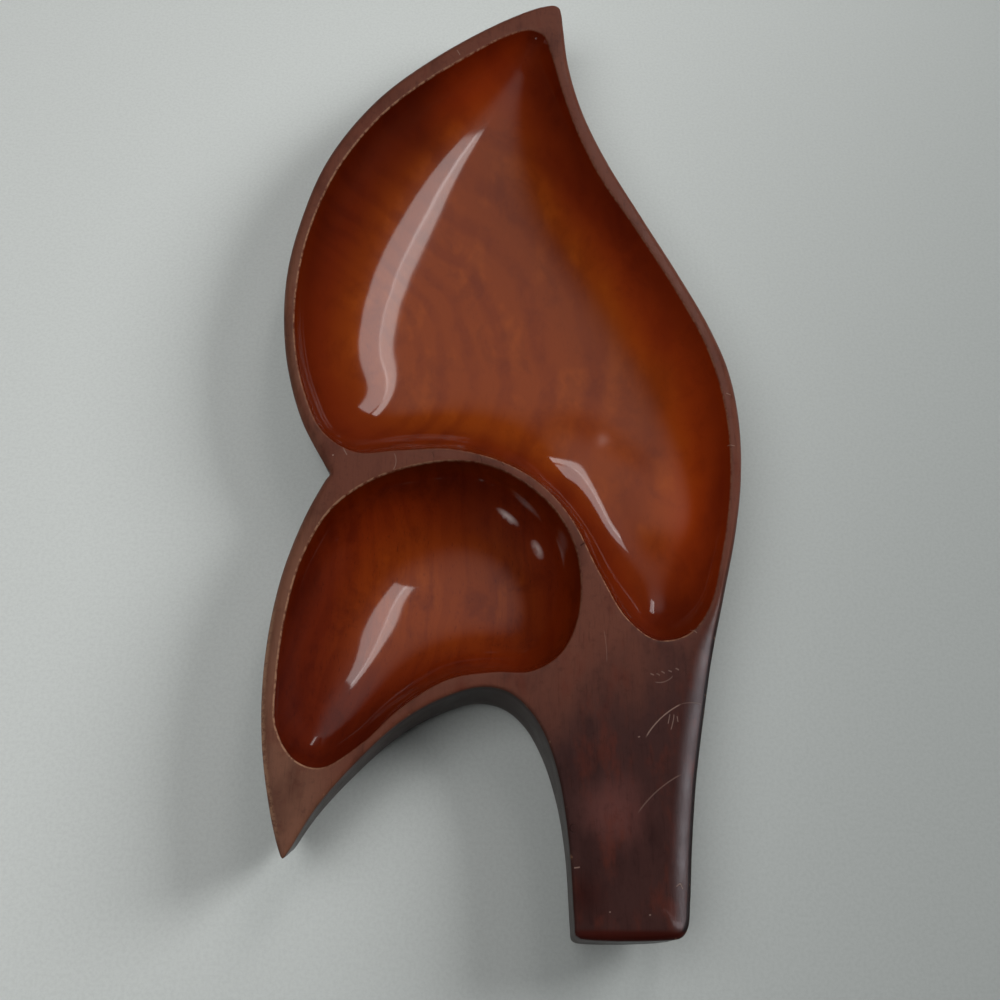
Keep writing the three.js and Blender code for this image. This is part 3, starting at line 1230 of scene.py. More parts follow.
@dataclass(frozen=True)
class HollowLacquer:
    """Glossy amber lacquer over the carved hollows.

    Attributes:
        rim_tone: colour close under the rim.
        wall_tone: colour of the wall.
        floor_tone: colour of the floor.
        pale_tone: colour of the lighter patches of the floor.
        ring_tone: what a dark growth ring multiplies the colour by.
        blotch_tone: what a dark blotch multiplies the colour by.
        fleck_tone: what a dark pore multiplies the colour by.
        right_wall_painted_light: painted light: what the wall under the right rim multiplies the colour by,
            lightening the wall that the lamps leave in shade.
        left_wall_painted_shade: painted shade: what the wall under the lobe's left rim multiplies the
            colour by, darkening it.
        tip_wall_painted_shade: painted shade: what the wall towards the leaf's tip, and less of the floor
            there, multiplies the colour by.
        roughness: roughness of the wood under the lacquer.
        coat_roughness: roughness of the lacquer.
        wall_reach: distances in from the mouth over which the rim's colour turns into the wall's.
        floor_reach: distances over which the wall's colour turns into the floor's.
        pale_reach: distances over which the lighter patches set in.
        shade_reach: distances in from the mouth over which that painted light and shade of the walls fades
            out.
        border: noise that moves all of these distances.
        border_waver: how far it moves them, in millimetres.
        cloud: noise of the lighter patches.
        line_fade: values of that noise between which the rings and streaks grow stronger.
        blotch: noise of the blotches.
        pore: noise of the pores.
        right: where the right wall is.
        left: where the lobe's left wall is.
        tip: where the leaf's tip is.
        ring_middle: where the growth rings of the large hollow centre, in millimetres.
        ring_noise: noise that the growth rings follow.
        ring_waver: how far they follow it, in millimetres.
        ring_pitch: factor for the radius, and what is taken off, before its logarithm counts the rings.
        ring_count: rings for each unit of that logarithm.
        ring_fade: distances from their middle over which the rings set in.
        streak_spacing: distance between the streaks of the small hollow.
        streak_middle: y at which the streaks bow out furthest.
        streak_bow: how strongly they are bowed.
        streak_noise: noise that the streaks follow.
        streak_waver: how far they follow it, in millimetres.
    """

    rim_tone: Colour = linear(88, 23, 1)
    wall_tone: Colour = linear(106, 32, 2)
    floor_tone: Colour = linear(134, 55, 3)
    pale_tone: Colour = linear(144, 63, 6)
    ring_tone: Colour = (0.78, 0.66, 0.58)
    blotch_tone: Colour = (0.68, 0.57, 0.5)
    fleck_tone: Colour = (0.6, 0.48, 0.4)
    # Painted light on the right walls and painted shade on the left and tip walls, not colours of the wood
    right_wall_painted_light: Colour = (2.1, 2.3, 1.7)
    left_wall_painted_shade: Colour = (0.78, 0.7, 0.8)
    tip_wall_painted_shade: Colour = (0.62, 0.57, 0.6)
    roughness: float = 0.62
    coat_roughness: float = 0.06
    wall_reach: Span = (0.0, 13.0)
    floor_reach: Span = (9.0, 30.0)
    pale_reach: Span = (14.0, 30.0)
    shade_reach: Span = (12.0, 30.0)
    border: Grain = Grain(0.025, roughness=0.55)
    border_waver: float = 14.0
    cloud: Grain = Grain(0.07, stretch=(1.0, 0.5, 1.0), shows=(0.5, 0.7))
    line_fade: Span = (0.3, 0.6)
    blotch: Grain = Grain(0.06, 5.0, 0.7, (1.0, 0.7, 1.0), 0.4, shows=(0.48, 0.68))
    pore: Grain = Grain(1.5, stretch=(1.0, 0.16, 1.0), shows=(0.58, 0.72))
    right: Side = Side((1.0, 0.4, 0.0), 15.0, 50.0)
    left: Side = Side((1.0, 0.4, 0.0), -85.0, -120.0)
    tip: Side = Side((0.0, 1.0, 0.0), 0.0, 160.0)
    ring_middle: Span = (-95.0, 15.0)
    ring_noise: Grain = Grain(0.03, roughness=0.5)
    ring_waver: float = 16.0
    ring_pitch: Span = (0.18, 2.0)
    ring_count: float = 5.0
    ring_fade: Span = (30.0, 75.0)
    streak_spacing: float = 8.0
    streak_middle: float = -92.0
    streak_bow: float = 0.003
    streak_noise: Grain = Grain(0.06, stretch=(1.0, 0.25, 1.0))
    streak_waver: float = 14.0

    def colour(self, graph: Graph, place: Wire, mouth: Wire, small: Wire) -> Wire:
        """Colour of the lacquered hollows, with painted light and shade on their walls.

        Args:
            graph: the material's nodes.
            place: place on the dish in millimetres.
            mouth: distance in from the mouth.
            small: 1 in the small hollow.

        Returns:
            The colour.
        """
        inward = mouth + self.border.on(graph, place) * self.border_waver - self.border_waver / 2
        low = graph.blend(inward.ramp(*self.wall_reach), self.rim_tone, self.wall_tone)
        base = graph.blend(inward.ramp(*self.floor_reach), low, self.floor_tone)
        cloud = self.cloud.on(graph, place)
        pale = cloud.ramp(*self.cloud.shows) * inward.ramp(*self.pale_reach)
        base = graph.blend(pale, base, self.pale_tone)
        rings = self._rings(graph, place)
        lines = rings + (self._streaks(graph, place) - rings) * small
        faded = lines * (0.25 + 0.75 * cloud.ramp(*self.line_fade))
        blotches = self.blotch.mask(graph, place) * (0.45 + 0.3 * small)
        flecks = self.pore.mask(graph, place) * (0.25 + 0.45 * small)
        wall = 1.0 - inward.ramp(*self.shade_reach)
        tints = (
            (faded, self.ring_tone),
            (blotches, self.blotch_tone),
            (flecks, self.fleck_tone),
            # The last three are painted light and shade on the walls
            (self.right.on(graph, place) * wall, self.right_wall_painted_light),
            (self.left.on(graph, place) * wall, self.left_wall_painted_shade),
            (self.tip.on(graph, place) * (0.35 + 0.65 * wall), self.tip_wall_painted_shade),
        )
        for mask, tone in tints:
            base = graph.tint(mask, base, tone)
        return base

    def _rings(self, graph: Graph, place: Wire) -> Wire:
        """Growth rings that the large hollow cuts through, ever wider apart from their middle.

        Args:
            graph: the material's nodes.
            place: place on the dish in millimetres.

        Returns:
            1 on a dark ring, 0 between rings.
        """
        flat = graph.scaled(place, (1.0, 1.0, 0.0))
        radius = graph.apart(flat, (*self.ring_middle, 0.0))
        waver = (self.ring_noise.on(graph, place) - 0.5) * self.ring_waver
        scale, less = self.ring_pitch
        phase = ((radius + waver) * scale - less).most(0.5).log() * self.ring_count
        wave = ((phase - 0.33) * (2 * math.pi)).sine()
        fine = ((phase - 0.1) * (6 * math.pi)).sine()
        rings = wave.ramp(-0.3, 1.0) * 0.75 + fine.ramp(0.2, 1.0) * 0.08
        return rings * radius.ramp(*self.ring_fade)

    def _streaks(self, graph: Graph, place: Wire) -> Wire:
        """Nearly straight, slightly bowed streaks of the small hollow.

        Args:
            graph: the material's nodes.
            place: place on the dish in millimetres.

        Returns:
            1 on a dark streak, 0 between streaks.
        """
        x = graph.along(place, (1.0, 0.0, 0.0))
        y = graph.along(place, (0.0, 1.0, 0.0)) - self.streak_middle
        waver = (self.streak_noise.on(graph, place) - 0.5) * self.streak_waver
        across = (x + y * y * self.streak_bow + waver) / self.streak_spacing
        wave = (across * (2 * math.pi)).sine()
        fine = (across * (5.3 * math.pi)).sine()
        return wave.ramp(-0.1, 1.0) * 0.5 + fine.ramp(0.3, 1.0) * 0.2


@dataclass(frozen=True)
class RimFinish:
    """Worn satin finish on the rim, the handle and the sides, with painted sheen and painted shade in its
    colour.

    Attributes:
        tone: main colour.
        handle_sheenless_tone: colour of the handle away from the hollows; the fall from the lighter rim
            into it is painted sheen.
        dark_tone: what a darker patch multiplies the colour by.
        red_tone: colour of the redder patches.
        lobe_sheen_tone: colour of the paler lobe, a painted sheen on its left side.
        warm_and_sheen_tone: colour of the warmer, lighter patch in the middle of the handle, partly the
            wood's tone and partly painted sheen.
        wine_tone: colour of the darkest red patch, by the handle's end.
        bare_and_highlight_tone: bare wood where an edge is rubbed through, and the painted highlight line
            along the mouths' arrises.
        scratch_tone: colour of a scratch.
        side_tone: colour of the walls.
        end_tone: colour of the dark band on the handle's end.
        bevel_edge_painted_shade: painted shade: what the outer edge of the handle's bevel multiplies the
            colour by, a dark line where the edge turns under.
        roughness: roughness of the worn finish.
        patches: noise of the darker patches, which also moves the borders of the others.
        redness: noise of the redder patches.
        mottle: fine noise of the darker patches.
        fibre: noise of the wood's fibres.
        handle: where the handle is, along which the painted sheen fades into its darker colour.
        handle_waver: how far its border wavers, in millimetres.
        lobe: where the lobe is.
        warm: the warmer patch.
        wine: the darkest red patch.
        grip: where the handle's bevel is, whose outer edge gets the painted shade.
        end: where the handle's end is.
        side_reach: distances in from the outline over which the walls' colour sets in.
        bevel_edge_shade_reach: distances over which that painted shade of the bevel's outer edge sets in.
        end_reach: distances over which the dark band on the handle's end sets in.
    """

    tone: Colour = linear(102, 59, 46)
    handle_sheenless_tone: Colour = linear(62, 38, 35)
    dark_tone: Colour = (0.63, 0.61, 0.63)
    red_tone: Colour = linear(93, 42, 30)
    lobe_sheen_tone: Colour = linear(118, 80, 63)
    warm_and_sheen_tone: Colour = linear(98, 58, 53)
    wine_tone: Colour = linear(52, 18, 12)
    bare_and_highlight_tone: Colour = linear(150, 112, 88)
    scratch_tone: Colour = linear(146, 120, 108)
    side_tone: Colour = linear(46, 27, 20)
    end_tone: Colour = linear(58, 18, 12)
    bevel_edge_painted_shade: Colour = (0.2, 0.16, 0.16)
    roughness: float = 0.34
    patches: Grain = Grain(0.06, 4.0, 0.62, (1.0, 0.4, 1.0), shows=(0.48, 0.7), strength=0.8)
    redness: Grain = Grain(0.1, 4.0, 0.65, (1.0, 0.4, 1.0), shows=(0.5, 0.7), strength=0.45)
    mottle: Grain = Grain(0.35, 4.0, 0.7, shows=(0.5, 0.75), strength=0.5)
    fibre: Grain = Grain(1.1, 4.0, 0.65, (1.0, 0.08, 1.0), shows=(0.52, 0.74), strength=0.6)
    handle: Side = Side((0.6, -1.0, 0.0), 128.0, 186.0)
    handle_waver: float = 60.0
    lobe: Side = Side((-1.0, -0.12, 0.0), 74.0, 100.0, 0.9)
    warm: Spot = Spot((37.0, -186.0, 32.0), 26.0, 8.0, 16.0, 0.8)
    wine: Spot = Spot((24.0, -214.0, 32.0), 20.0, 6.0, 14.0, 0.8)
    grip: Side = Side((1.0, -0.35, 0.0), 112.0, 122.0)
    end: Side = Side((0.0, -1.0, 0.0), 224.6, 226.2, 0.85)
    side_reach: Span = (0.6, -0.8)
    bevel_edge_shade_reach: Span = (1.8, 1.1)
    end_reach: Span = (-3.0, -1.0)

    def colour(self, graph: Graph, place: Wire, edge: Wire) -> Wire:
        """Colour of the rim, the handle and the sides, unworn, with painted sheen and painted shade.

        Args:
            graph: the material's nodes.
            place: place on the dish in millimetres.
            edge: distance in from the outline, or minus the distance down the wall.

        Returns:
            The colour.
        """
        patches = self.patches.on(graph, place)
        # Painted sheen: lighter near the hollows, on the lobe and in the handle's middle, darker towards
        # the handle's end
        handle = self.handle.on(graph, place, (patches - 0.5) * self.handle_waver)
        base = graph.blend(handle, self.tone, self.handle_sheenless_tone)
        areas = (
            (self.lobe.on(graph, place), self.lobe_sheen_tone),
            (self.warm.on(graph, place, patches), self.warm_and_sheen_tone),
            (self.wine.on(graph, place, patches), self.wine_tone),
            (self.redness.mask(graph, place), self.red_tone),
        )
        for mask, tone in areas:
            base = graph.blend(mask, base, tone)
        dark = patches.ramp(*self.patches.shows) * self.patches.strength
        darker = (dark + self.mottle.mask(graph, place)).clamp()
        base = graph.tint(darker, base, self.dark_tone)
        base = graph.tint(self.fibre.mask(graph, place), base, self.dark_tone)
        base = graph.blend(edge.ramp(*self.side_reach), base, self.side_tone)
        # Painted shade along the outer edge of the handle's bevel
        arris = self.grip.on(graph, place) * edge.ramp(*self.bevel_edge_shade_reach)
        base = graph.tint(arris, base, self.bevel_edge_painted_shade)
        end = self.end.on(graph, place) * edge.ramp(*self.end_reach)
        return graph.blend(end, base, self.end_tone)


@dataclass(frozen=True)
class Scratch:
    """A fine mark that runs along an arc through three places on the rim, in millimetres.

    Attributes:
        start: its one end.
        middle: a place on it.
        end: its other end.
        width: half its width.
        strength: how much of it shows.
        FLATTEST: radius of the arc of a straight mark.
        ACROSS: shares of the width between which it fades.
        LENGTHWISE: shares of half the length between which it fades.
    """

    start: Span
    middle: Span
    end: Span
    width: float = 0.28
    strength: float = 0.8

    FLATTEST = 3000.0
    ACROSS = (1.2, 0.2)
    LENGTHWISE = (1.06, 0.8)

    def circle(self) -> tuple[Span, float]:
        """The circle that the arc is part of.

        Returns:
            Its middle and its radius.
        """
        (ax, ay), (bx, by), (cx, cy) = self.start, self.middle, self.end
        double = 2 * ((bx - ax) * (cy - ay) - (by - ay) * (cx - ax))
        one = (bx - ax) ** 2 + (by - ay) ** 2
        other = (cx - ax) ** 2 + (cy - ay) ** 2
        if abs(double) * self.FLATTEST < math.dist(self.start, self.end) ** 3:
            length = math.dist(self.start, self.end)
            x = (ax + cx) / 2 + (cy - ay) / length * self.FLATTEST
            y = (ay + cy) / 2 - (cx - ax) / length * self.FLATTEST
        else:
            x = ax + ((cy - ay) * one - (by - ay) * other) / double
            y = ay + ((bx - ax) * other - (cx - ax) * one) / double
        return (x, y), math.dist((x, y), self.start)

    def mask(self, graph: Graph, flat: Wire) -> Wire:
        """Where the mark is.

        Args:
            graph: the material's nodes.
            flat: place on the dish in millimetres, without its height.

        Returns:
            Its strength on the mark and 0 off it.
        """
        (x, y), radius = self.circle()
        away = (graph.apart(flat, (x, y, 0.0)) - radius).absolute()
        across = away.ramp(*(self.width * share for share in self.ACROSS))
        halfway = ((self.start[0] + self.end[0]) / 2, (self.start[1] + self.end[1]) / 2, 0.0)
        reach = math.dist(self.start, self.end) / 2
        along = graph.apart(flat, halfway).ramp(*(reach * share for share in self.LENGTHWISE))
        return across * along * self.strength


LIGHT_MARKS = (
    Scratch((45.0, -185.9), (51.5, -178.8), (61.8, -171.7), 0.3, 0.3),
    Scratch((49.5, -158.4), (54.7, -151.9), (63.4, -145.6), 0.3, 0.75),
    Scratch((60.5, -149.5), (59.9, -152.5), (58.9, -155.5), 0.22, 0.6),
    Scratch((59.0, -149.5), (58.5, -151.4), (58.0, -153.3), 0.22, 0.55),
    Scratch((61.6, -150.2), (61.7, -151.5), (61.8, -152.5), 0.22, 0.55),
    Scratch((52.6, -134.0), (53.3, -134.3), (54.0, -134.6), 0.35, 0.45),
    Scratch((54.8, -134.0), (55.5, -134.2), (56.2, -134.7), 0.32, 0.35),
    Scratch((56.8, -133.0), (57.4, -133.3), (58.1, -133.8), 0.35, 0.45),
    Scratch((59.5, -132.6), (60.1, -132.8), (60.8, -133.2), 0.35, 0.45),
    Scratch((62.3, -131.7), (62.9, -131.9), (63.6, -132.4), 0.35, 0.5),
    Scratch((54.1, -137.3), (56.8, -137.3), (61.1, -134.7), 0.24, 0.35),
    Scratch((35.7, -117.1), (36.3, -123.0), (36.3, -129.9), 0.2, 0.25),
    Scratch((57.2, -210.7), (58.0, -210.1), (58.9, -209.4), 0.25, 0.6),
    Scratch((58.7, -209.4), (59.2, -210.3), (59.7, -211.4), 0.25, 0.6),
    Scratch((63.4, -145.6), (67.6, -144.7), (71.8, -144.6), 0.2, 0.25),
    Scratch((69.5, -115.2), (70.6, -116.2), (71.7, -117.2), 0.25, 0.6),
    Scratch((-25.6, 190.6), (-24.7, 188.9), (-24.0, 187.2), 0.3, 0.7),
    Scratch((-67.8, -41.1), (-66.9, -43.0), (-65.9, -44.8), 0.25, 0.6),
    Scratch((-71.8, -45.3), (-71.5, -45.0), (-71.2, -44.8), 0.5, 1.0),
    Scratch((-47.1, -43.0), (-46.1, -47.2), (-47.2, -50.9), 0.22, 0.5),
    Scratch((93.1, -7.0), (94.1, -7.5), (95.2, -7.9), 0.28, 0.7),
    Scratch((91.6, -32.4), (93.0, -32.9), (94.5, -33.2), 0.28, 0.7),
    Scratch((21.6, -205.1), (22.6, -205.0), (23.7, -204.8), 0.3, 0.7),
    Scratch((-76.1, -200.7), (-75.8, -200.6), (-75.5, -200.4), 0.4, 0.8),
    Scratch((46.5, -158.5), (46.9, -158.4), (47.3, -158.2), 0.3, 0.7),
    Scratch((46.9, -220.4), (47.2, -220.3), (47.6, -220.2), 0.35, 0.7),
    Scratch((33.2, -219.6), (33.5, -219.5), (33.8, -219.4), 0.35, 0.6),
)
DARK_MARKS = (
    Scratch((27.7, -82.0), (29.1, -80.8), (30.5, -79.7), 0.4, 0.9),
    Scratch((-31.7, -41.8), (-31.2, -43.2), (-30.9, -44.6), 0.28, 0.6),
    Scratch((-12.2, -42.4), (-11.8, -44.0), (-11.3, -45.6), 0.28, 0.6),
    Scratch((-4.0, -44.4), (-3.2, -45.8), (-2.4, -47.1), 0.28, 0.6),
    Scratch((21.7, -190.2), (23.6, -191.5), (21.8, -193.3), 0.4, 0.8),
)


@dataclass(frozen=True)
class Wear:
    """Rubbed edges, scratches and nicks, and the painted highlight line along the mouths' arrises.

    Attributes:
        dark_tone: what a dark nick multiplies the colour by.
        light_marks: scratches that show lighter wood.
        dark_marks: nicks that hold dirt.
        broken: noise that breaks up the rubbed arrises and their painted highlight.
        flaked: noise that breaks up the lobe's rubbed outer edge.
        chafed: noise of the few rubbed places of the other outer edges.
        arris_strip: borders of the strip along a mouth, in from it, that is rubbed and carries the arris's
            painted highlight.
        flaked_strip: borders of the strip along the lobe's outer edge, in from the outline.
        chafed_strip: borders of the strip along the other outer edges.
        lobe_strip: borders of the lobe's rubbed part, from the middle of the dish towards -Y.
        lobe_side: where the lobe's outer edge is.
    """

    dark_tone: Colour = (0.35, 0.3, 0.28)
    light_marks: tuple[Scratch, ...] = LIGHT_MARKS
    dark_marks: tuple[Scratch, ...] = DARK_MARKS
    broken: Grain = Grain(0.45, shows=(0.36, 0.6))
    flaked: Grain = Grain(0.5, 5.0, 0.75, shows=(0.4, 0.56))
    chafed: Grain = Grain(0.3, 4.0, 0.7, shows=(0.6, 0.7), strength=0.5)
    arris_strip: Borders = (-0.65, -0.25, 0.05, 0.3)
    flaked_strip: Borders = (-2.4, -0.6, 0.4, 2.2)
    chafed_strip: Borders = (-0.9, -0.2, 0.3, 1.2)
    lobe_strip: Borders = (104.0, 122.0, 190.0, 201.0)
    lobe_side: Side = Side((-1.0, 0.0, 0.0), 76.0, 82.0)

    @staticmethod
    def marks(graph: Graph, place: Wire, which: Sequence[Scratch]) -> Wire:
        """Where a set of marks is.

        Args:
            graph: the material's nodes.
            place: place on the dish in millimetres.
            which: the marks.

        Returns:
            Their strength on them and 0 elsewhere.
        """
        flat = graph.scaled(place, (1.0, 1.0, 0.0))
        total = which[0].mask(graph, flat)
        for scratch in which[1:]:
            total = total.most(scratch.mask(graph, flat))
        return total

    def rubbed(self, graph: Graph, place: Wire, mouth: Wire, arris: Wire, edge: Wire) -> Wire:
        """Where the finish is rubbed through: the mouths' arrises and the outer edges; along the mouths'
        arrises this also paints their highlight.

        Args:
            graph: the material's nodes.
            place: place on the dish in millimetres.
            mouth: distance in from the mouth.
            arris: how bare the nearest arris is, which also sets how strongly its painted highlight shows.
            edge: distance in from the outline.

        Returns:
            1 where the wood is rubbed bare and where an arris's highlight is painted, and 0 elsewhere.
        """
        # Along the mouths this is partly rubbed bare wood and partly the painted highlight of the arris
        bare = mouth.strip(*self.arris_strip) * arris * self.broken.mask(graph, place)
        lobe = graph.along(place, (0.0, -1.0, 0.0)).strip(*self.lobe_strip)
        lobe = lobe * self.lobe_side.on(graph, place)
        flaked = edge.strip(*self.flaked_strip) * self.flaked.mask(graph, place)
        chafed = edge.strip(*self.chafed_strip) * self.chafed.mask(graph, place)
        return (bare + flaked * lobe + chafed).clamp()


class CarvingTree:
    """Geometry Nodes that sink the hollows into the flat board by one rule.

    Attributes:
        NAME: name of the tree.
        SIZES: its inputs that are numbers, without the swells.
        PLACES: its inputs that are vectors, without the swells.
        WALL: distance in from a mouth over which the swells set in, in millimetres.
        RIM_RIPPLE: share of the ripple's height that is left on the rim.
    """

    NAME = "carve_hollows"
    SIZES = (
        "Large Depth",
        "Large Reach",
        "Small Depth",
        "Small Reach",
        "Fullness",
        "Arris Fall",
        "Arris Width",
        "Ripple Height",
        "Ripple Scale",
        "Seed",
    )
    PLACES = ("Large Middle", "Large Lean", "Small Middle", "Small Lean")
    WALL = 8.0
    RIM_RIPPLE = 0.35

    def __init__(self, material: bpy.types.Material, swells: dict[str, tuple[Swell, ...]]) -> None:
        """Builds the tree.

        Args:
            material: the finish that it sets on the carved board.
            swells: the swells of each hollow's floor, by the hollow's name.
        """
        self.swells = {
            f"{hollow} Swell {number}": swell
            for hollow, rows in swells.items()
            for number, swell in enumerate(rows, 1)
        }
        self.group = bpy.data.node_groups.new(self.NAME, "GeometryNodeTree")
        self.material = material
        sockets = [("Board", "Geometry")]
        sockets += [(name, "Float") for name in self.SIZES]
        sockets += [(name, "Vector") for name in self.PLACES]
        for name in self.swells:
            sockets += [(f"{name} Middle", "Vector"), (f"{name} Dip", "Float"), (f"{name} Radius", "Float")]
        interface = self.group.interface
        for name, kind in sockets:
            interface.new_socket(name, in_out="INPUT", socket_type=f"NodeSocket{kind}")
        interface.new_socket("Dish", in_out="OUTPUT", socket_type="NodeSocketGeometry")
        self._build(Graph(self.group))

    def _build(self, graph: Graph) -> None:
        """Adds the nodes.

        Args:
            graph: the emptied tree.
        """
        inputs = self.group.nodes.new("NodeGroupInput")
        given = {socket.name: Wire(graph, socket) for socket in inputs.outputs if socket.name}

        def read(name: Field) -> Wire:
            """Reads what each point carries."""
            chosen = {"Name": name.value}
            kind = "GeometryNodeInputNamedAttribute"
            return graph.add(kind, {"data_type": "FLOAT"}, chosen, "Attribute")

        def leaning(hollow: str) -> Wire:
            """Factor by which a hollow is deeper or shallower at a place."""
            away = graph.vector("SUBTRACT", place, given[f"{hollow} Middle"])
            return 1 + graph.along(away, given[f"{hollow} Lean"])

        position = graph.add("GeometryNodeInputPosition")
        place = graph.scaled(position, (1 / MM, 1 / MM, 0.0))
        distance = read(Field.MOUTH)
        large = read(Field.LARGE)
        small = read(Field.SMALL)
        depth = large * given["Large Depth"] * leaning("Large")
        depth = depth + small * given["Small Depth"] * leaning("Small")
        reach = large * given["Large Reach"] + small * given["Small Reach"] + (1 - large - small)
        inward = distance.most(0.0)
        share = (inward * inward / (inward + read(Field.SOFTNESS) + 0.001) / reach).clamp()
        level = 1 - share
        sunk = depth * (1 - level * level) ** given["Fullness"]
        floor = (inward / self.WALL).clamp()
        marked = {"Large": large, "Small": small}
        for name in self.swells:
            wide = graph.apart(place, given[f"{name} Middle"]) / given[f"{name} Radius"]
            bell = (wide * wide * -0.5).exponent()
            sunk = sunk + bell * floor * marked[name.split()[0]] * given[f"{name} Dip"]
        near = (1 + distance.least(0.0) / given["Arris Width"]).clamp()
        rounded = given["Arris Fall"] * near * near
        rippling = {
            "Vector": position,
            "W": given["Seed"],
            "Scale": given["Ripple Scale"],
            "Detail": 2.0,
        }
        noise = graph.add("ShaderNodeTexNoise", {"noise_dimensions": "4D"}, rippling, "Fac")
        ripple = (noise - 0.5) * given["Ripple Height"] * read(Field.TOP) * (self.RIM_RIPPLE + share)
        offset = graph.add("ShaderNodeCombineXYZ", {}, {"Z": (ripple - sunk - rounded) * MM})
        moving = {"Geometry": given["Board"], "Offset": offset}
        moved = graph.add("GeometryNodeSetPosition", {}, moving)
        smooth = graph.add("GeometryNodeSetShadeSmooth", {}, {"Geometry": moved})
        real = graph.add("GeometryNodeRealizeInstances", {}, {"Geometry": smooth})
        finishing = {"Geometry": real, "Material": self.material}
        finish = graph.add("GeometryNodeSetMaterial", {}, finishing)
        outputs = self.group.nodes.new("NodeGroupOutput")
        self.group.links.new(finish.socket, outputs.inputs[0])

    def apply(self, blank: bpy.types.Object, settings: dict[str, float | Place]) -> None:
        """Carves an object and leaves it a plain mesh.

        Args:
            blank: the flat board.
            settings: the tree's inputs by name, without the swells.
        """
        given = dict(settings)
        for name, swell in self.swells.items():
            given[f"{name} Middle"] = (*swell.middle, 0.0)
            given[f"{name} Dip"] = swell.dip
            given[f"{name} Radius"] = swell.radius
        modifier = blank.modifiers.new("carve", "NODES")
        modifier.node_group = self.group
        for item in self.group.interface.items_tree:
            if item.name in given:
                modifier[item.identifier] = given[item.name]
        evaluated = blank.evaluated_get(bpy.context.evaluated_depsgraph_get())
        carved = bpy.data.meshes.new_from_object(evaluated)
        blank.modifiers.remove(modifier)
        blank.data = carved


def large_hollow() -> Hollow:
    """The large leaf-shaped hollow."""
    return Hollow(LARGE_MOUTH_ROWS, 24.0, 56.0, Field.LARGE, (12.0, 28.0), swells=LARGE_SWELLS)


def small_hollow() -> Hollow:
    """The small bean-shaped hollow, whose floor leans."""
    return Hollow(
        SMALL_MOUTH_ROWS,
        22.0,
        36.0,
        Field.SMALL,
        (-28.0, -96.0),
        lean=(0.0045, 0.0042),
        swells=SMALL_SWELLS,
        floor_spacing=1.5 * COARSE,
    )


def add_object(name: str, data: bpy.types.ID) -> bpy.types.Object:
    """Makes an object and puts it into the scene.

    Args:
        name: its name.
        data: its mesh, lamp or camera.

    Returns:
        The object.
    """
    made = bpy.data.objects.new(name, data)
    bpy.context.collection.objects.link(made)
    return made


